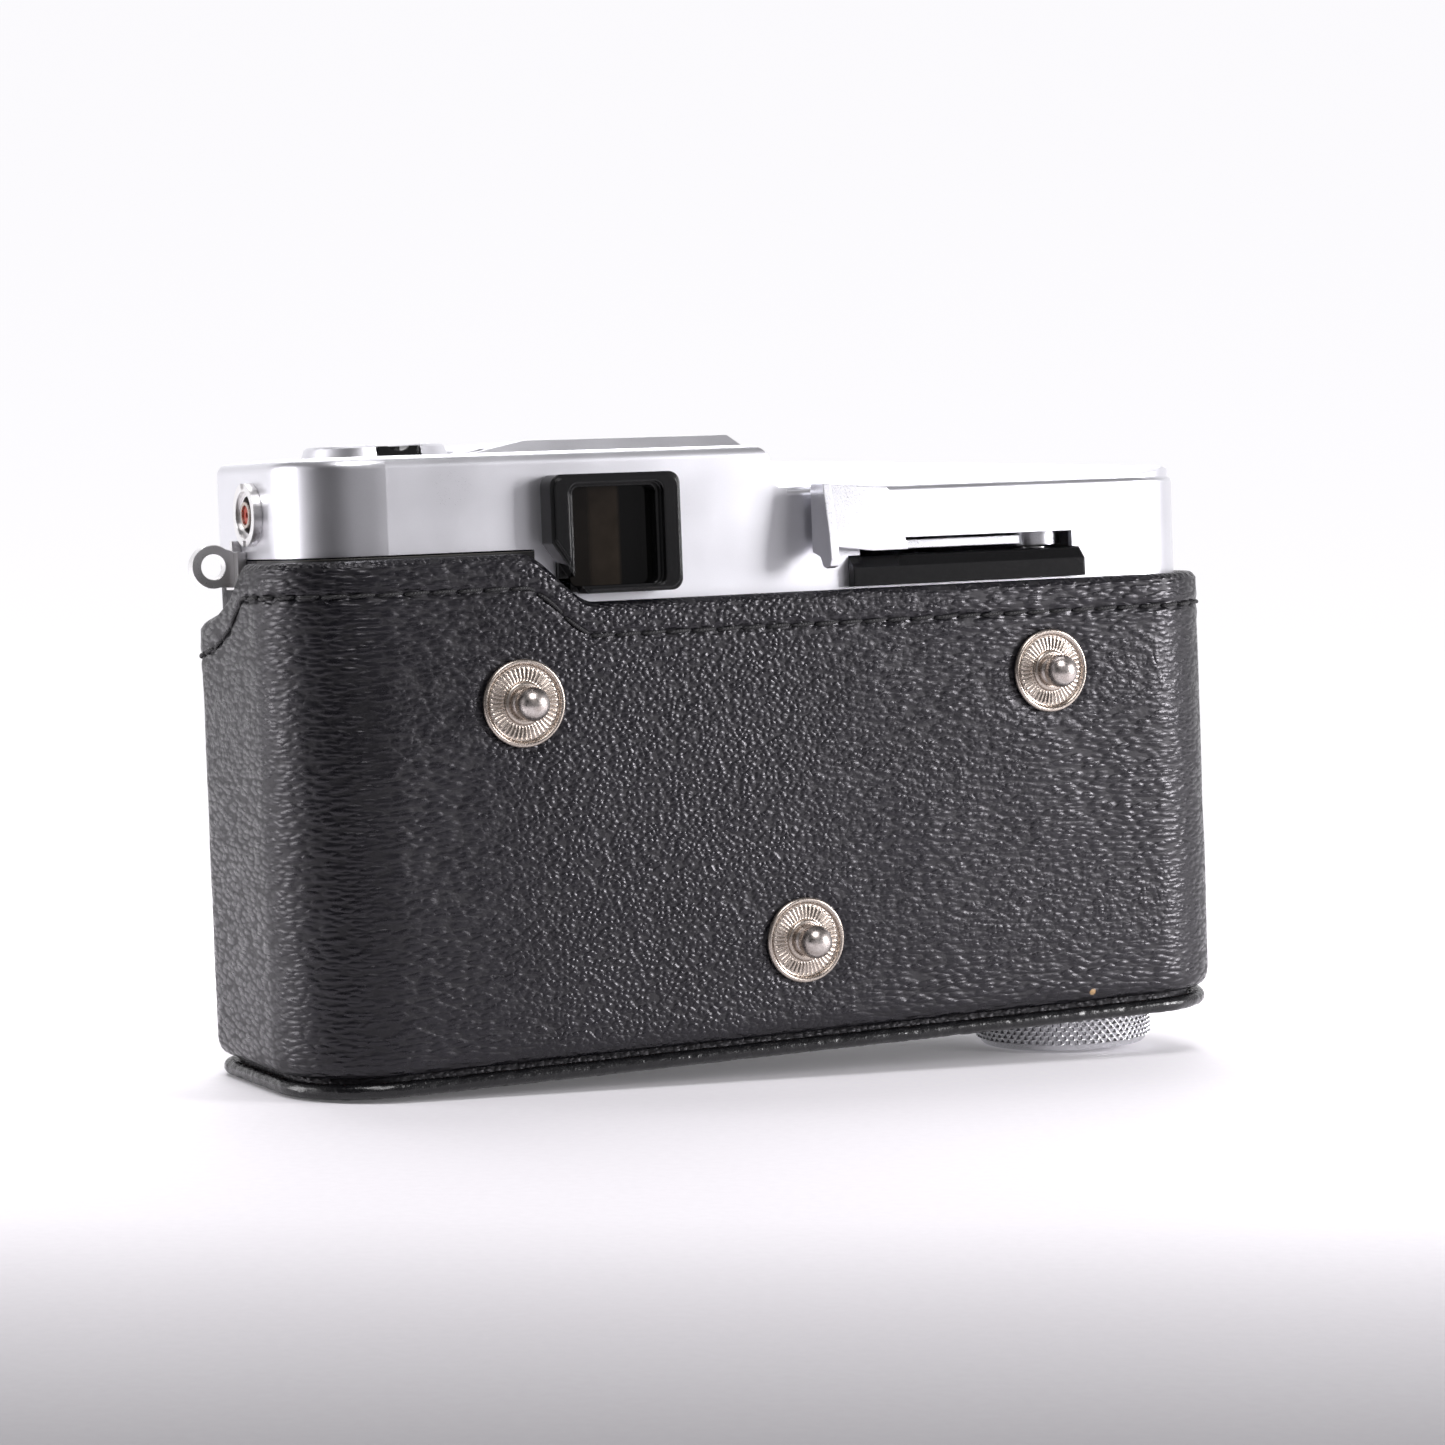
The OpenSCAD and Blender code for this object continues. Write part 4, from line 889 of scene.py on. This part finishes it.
def lining_piece():
    """Felt inside the leather, a little lower than its edge."""
    points, outward, lengths = case_loop(LEATHER + 0.02, 0.8, (OPENING_R + 0.2, OPENING_R + 1.0))
    bottom = box("case_lining")[0][2]
    edge = np.maximum(edge_height(points[:, 0], points[:, 1]) - 0.7, bottom + 1.2)
    rows = 40
    share = np.concatenate([np.linspace(0, 1, rows), np.linspace(1, 0, rows)])[:, None]
    z = bottom + share * (edge - bottom)[None, :]
    fuzz = np.minimum(0.1 * waver(lengths[None, :] / 0.9 + 0 * z, z / 0.8, 31), 0.04)
    inside = np.arange(2 * rows)[:, None] >= rows
    inset = np.where(inside, LINING - 0.04 + fuzz, 0.0)
    mesh = grid_mesh("felt_lining", round_the_case(points, outward, inset, z), wrap_rows=True)
    face_outward(mesh)
    piece("felt_lining", mesh, "half_case", finish("felt"), "felt", "case_lining")


def floor_panel(name, node, inset, hole, relief, slot):
    """A flat sheet filling the case's plan, rough below, with a round hole for the case screw."""
    low, high = box(node)[0][2], box(node)[1][2]
    points, _, _ = case_loop(inset, 1.1)
    towards = np.arctan2(points[:, 1] - SCREW_Y, points[:, 0] - SCREW_X)
    inner = np.stack([SCREW_X + hole * np.cos(towards), SCREW_Y + hole * np.sin(towards)], -1)
    share = np.linspace(0, 1, 70) ** 1.3

    def row(t, z, side):
        plan = points * (1 - t) + inner * t
        x, y = plan.T
        rough = relief * (smooth_noise(x / 1.4, y / 1.2, 41) + 0.6 * cell_gap(x / 1.7, y / 1.4, 43) - 0.9)
        rounding = 0.35 * min(1, high - low) * math.exp(-t * 60)
        return np.column_stack([plan, z - side * rounding + (rough if side < 0 else 0 * rough)])

    rows = [row(t, high, 1) for t in share] + [row(t, low, -1) for t in share[::-1]]
    mesh = grid_mesh(name, np.array(rows), wrap_rows=True)
    face_outward(mesh)
    piece(name, mesh, "half_case", finish(slot), slot, node)


def piping_piece():
    """Welt: leather rolled over a cord and wrinkled across."""
    points, outward, lengths = case_loop(PIPING_IN, 0.45)
    sides = 26
    angles = np.arange(sides) * TAU / sides
    s = lengths[None, :] + 0 * angles[:, None]
    a = angles[:, None] + 0 * s
    wrinkle = bell(waver(s / 1.1 + a * 0.5, a * 0.7, 57), 0.07)
    r = (PIPING_R - WELT_SLACK) + 0.07 * waver(s / 0.75, a * 0.8, 51) + 0.05 * waver(s / 5.0, a * 0.5, 53)
    r = np.minimum(r - 0.1 * wrinkle, PIPING_R)
    z = PIPING_Z - (WELT_SLACK - 0.1) + np.sin(a) * r
    mesh = grid_mesh("case_welt", round_the_case(points, outward, -np.cos(a) * r, z), wrap_rows=True)
    face_outward(mesh)
    piece("case_welt", mesh, "half_case", finish("welt_leather"), "welt_leather", "case_piping")


# ---------- turned metal pieces ----------

def turned_mesh(name, profile, steps, shape=None):
    """A solid of revolution about Z from a profile of (radius, height), which shape may change by angle."""
    profile = np.array(profile, float)
    angles = np.arange(steps) * TAU / steps
    radius = profile[:, 0][:, None] + 0 * angles
    height = profile[:, 1][:, None] + 0 * angles
    if shape is not None:
        radius, height = shape(radius, height, angles[None, :] + 0 * radius)
    return grid_mesh(name, np.stack([radius * np.cos(angles), radius * np.sin(angles), height], -1))


def cut_corners(points):
    """Chaikin's corner cutting, done twice, keeping the ends."""
    for _ in range(2):
        cut = [points[0]]
        for (ax, ay), (bx, by) in zip(points[:-1], points[1:]):
            cut.append((0.75 * ax + 0.25 * bx, 0.75 * ay + 0.25 * by))
            cut.append((0.25 * ax + 0.75 * bx, 0.25 * ay + 0.75 * by))
        points = cut + [points[-1]]
    return points


def triangle_wave(turns):
    """1 at whole and 0 at half turns."""
    return np.abs(turns % 1 - 0.5) * 2


def stand_on_back(mesh, x, z):
    """Turns a Z-up mesh to stand out of the case's back at x and z."""
    there = Matrix.Translation((x * MM, CASE_BACK * MM, z * MM))
    mesh.transform(there @ Matrix.Rotation(-math.pi / 2, 4, "X"))
    face_outward(mesh)


def snap_ring(name):
    """The ribbed dish that the strap's socket closes on, in a rolled rim, with a collar round the post."""
    rim = cut_corners([(5.7, 0.0), (RING_R, 0.12), (5.83, 0.42), (5.6, 0.66), (5.3, 0.62), (5.08, 0.4),
                       (4.98, 0.2), (DISH_R, 0.17)])
    dish = [(r, 0.2 + 0.1 * (DISH_R - r) / 1.9) for r in np.linspace(4.8, COLLAR_R, 14)]
    collar = cut_corners([(2.9, 0.34), (2.78, 0.72), (2.45, 0.86), (2.1, 0.8), (1.7, 0.7), (1.45, 0.62),
                          (1.45, 0.0)])

    def ribbed(radius, height, angle):
        on_dish = step_up(radius, COLLAR_R, 3.4) * (1 - step_up(radius, 4.5, DISH_R))
        return radius, height + 0.2 * on_dish * bell(1 - triangle_wave(angle * RIBS / TAU), 0.35)

    return turned_mesh(name, rim + dish + collar, RIBS * 10, ribbed)


def snap_post(name):
    """The ball on its neck."""
    around, arc_steps = 96, 24
    centre = POST_OUT - BALL_R
    under = math.acos(NECK_R / BALL_R)
    profile = [(1.95, 0.3), (1.98, 0.8), (1.85, 1.05), (1.62, 1.3), (NECK_R, 1.5)]
    for step in range(arc_steps):
        a = -under + (math.pi / 2 + under) * step / arc_steps
        profile.append((BALL_R * math.cos(a), centre + BALL_R * math.sin(a)))
    profile.append((0.02, centre + BALL_R))
    mesh = turned_mesh(name, profile, around)
    close_ends(mesh, len(profile), around)
    return mesh


def snap_pieces():
    for number, (x, z) in enumerate(SNAPS, 1):
        for make, name, slot, node in ((snap_ring, f"snap_ring_{number}", "nickel", "snap_rings"),
                                       (snap_post, f"snap_post_{number}", "tarnished_nickel", "snap_posts")):
            mesh = make(name)
            stand_on_back(mesh, x, z)
            piece(name, mesh, "half_case", finish(slot), slot, node)


def knurled_screw():
    """The case screw: a pyramid knurl between two plain rims, a stud, and the tripod socket's bore."""
    around, rows, depth = 66, 3, 0.42
    head, outer = SCREW_HEAD, SCREW_R
    low, high = 1.0, head - 0.45
    socket = [(SOCKET_R, 6.5), (SOCKET_R, 0.35), (3.5, 0.0)]
    foot = [(outer - 1.6, 0.0), (outer - 0.95, 0.08), (outer - 0.75, 0.3), (outer - 0.72, 0.72),
            (outer - 0.62, 0.86), (outer - depth, low - 0.02)]
    knurl = [(outer, z) for z in np.linspace(low, high, rows * 14 + 1)]
    top = [(outer - depth, high + 0.02), (outer - 0.7, head - 0.2), (outer - 1.0, head)]
    stud = [(4.8, head), (4.8, 8.7), (4.0, 8.72), (4.0, 9.22), (4.3, 9.26), (4.3, 9.34), (3.1, 9.36),
            (3.1, 15.0), (2.6, 15.5)]
    profile = socket + foot + knurl + top + stud
    first = len(socket + foot)
    last = first + len(knurl)

    def knurled(radius, height, angle):
        u = angle * around / TAU
        v = (height - low) / (high - low) * rows
        pyramid = 1 - np.maximum(triangle_wave(u + v), triangle_wave(u - v))
        radius[first:last] -= depth * (1 - np.clip(pyramid[first:last] * 1.25, 0, 1))
        return radius, height

    steps = around * 16
    mesh = turned_mesh("case_screw_head", profile, steps, knurled)
    close_ends(mesh, len(profile), steps)
    mesh.transform(Matrix.Translation((SCREW_X * MM, SCREW_Y * MM, 0)))
    face_outward(mesh)
    piece("case_screw_head", mesh, "case_screw", finish("screw_metal"), "screw_metal", "case_screw")


photo_camera()
studio()
sweep_floor()
finish_cad()
case_wall_piece()
lining_piece()
piping_piece()
floor_panel("leather_base", "case_base", BASE_IN + PIPING_R, 7.0, 0.09, "case_leather")
floor_panel("felt_pad", "base_pad", LEATHER + 0.1, 7.6, 0.0, "felt")
snap_pieces()
knurled_screw()
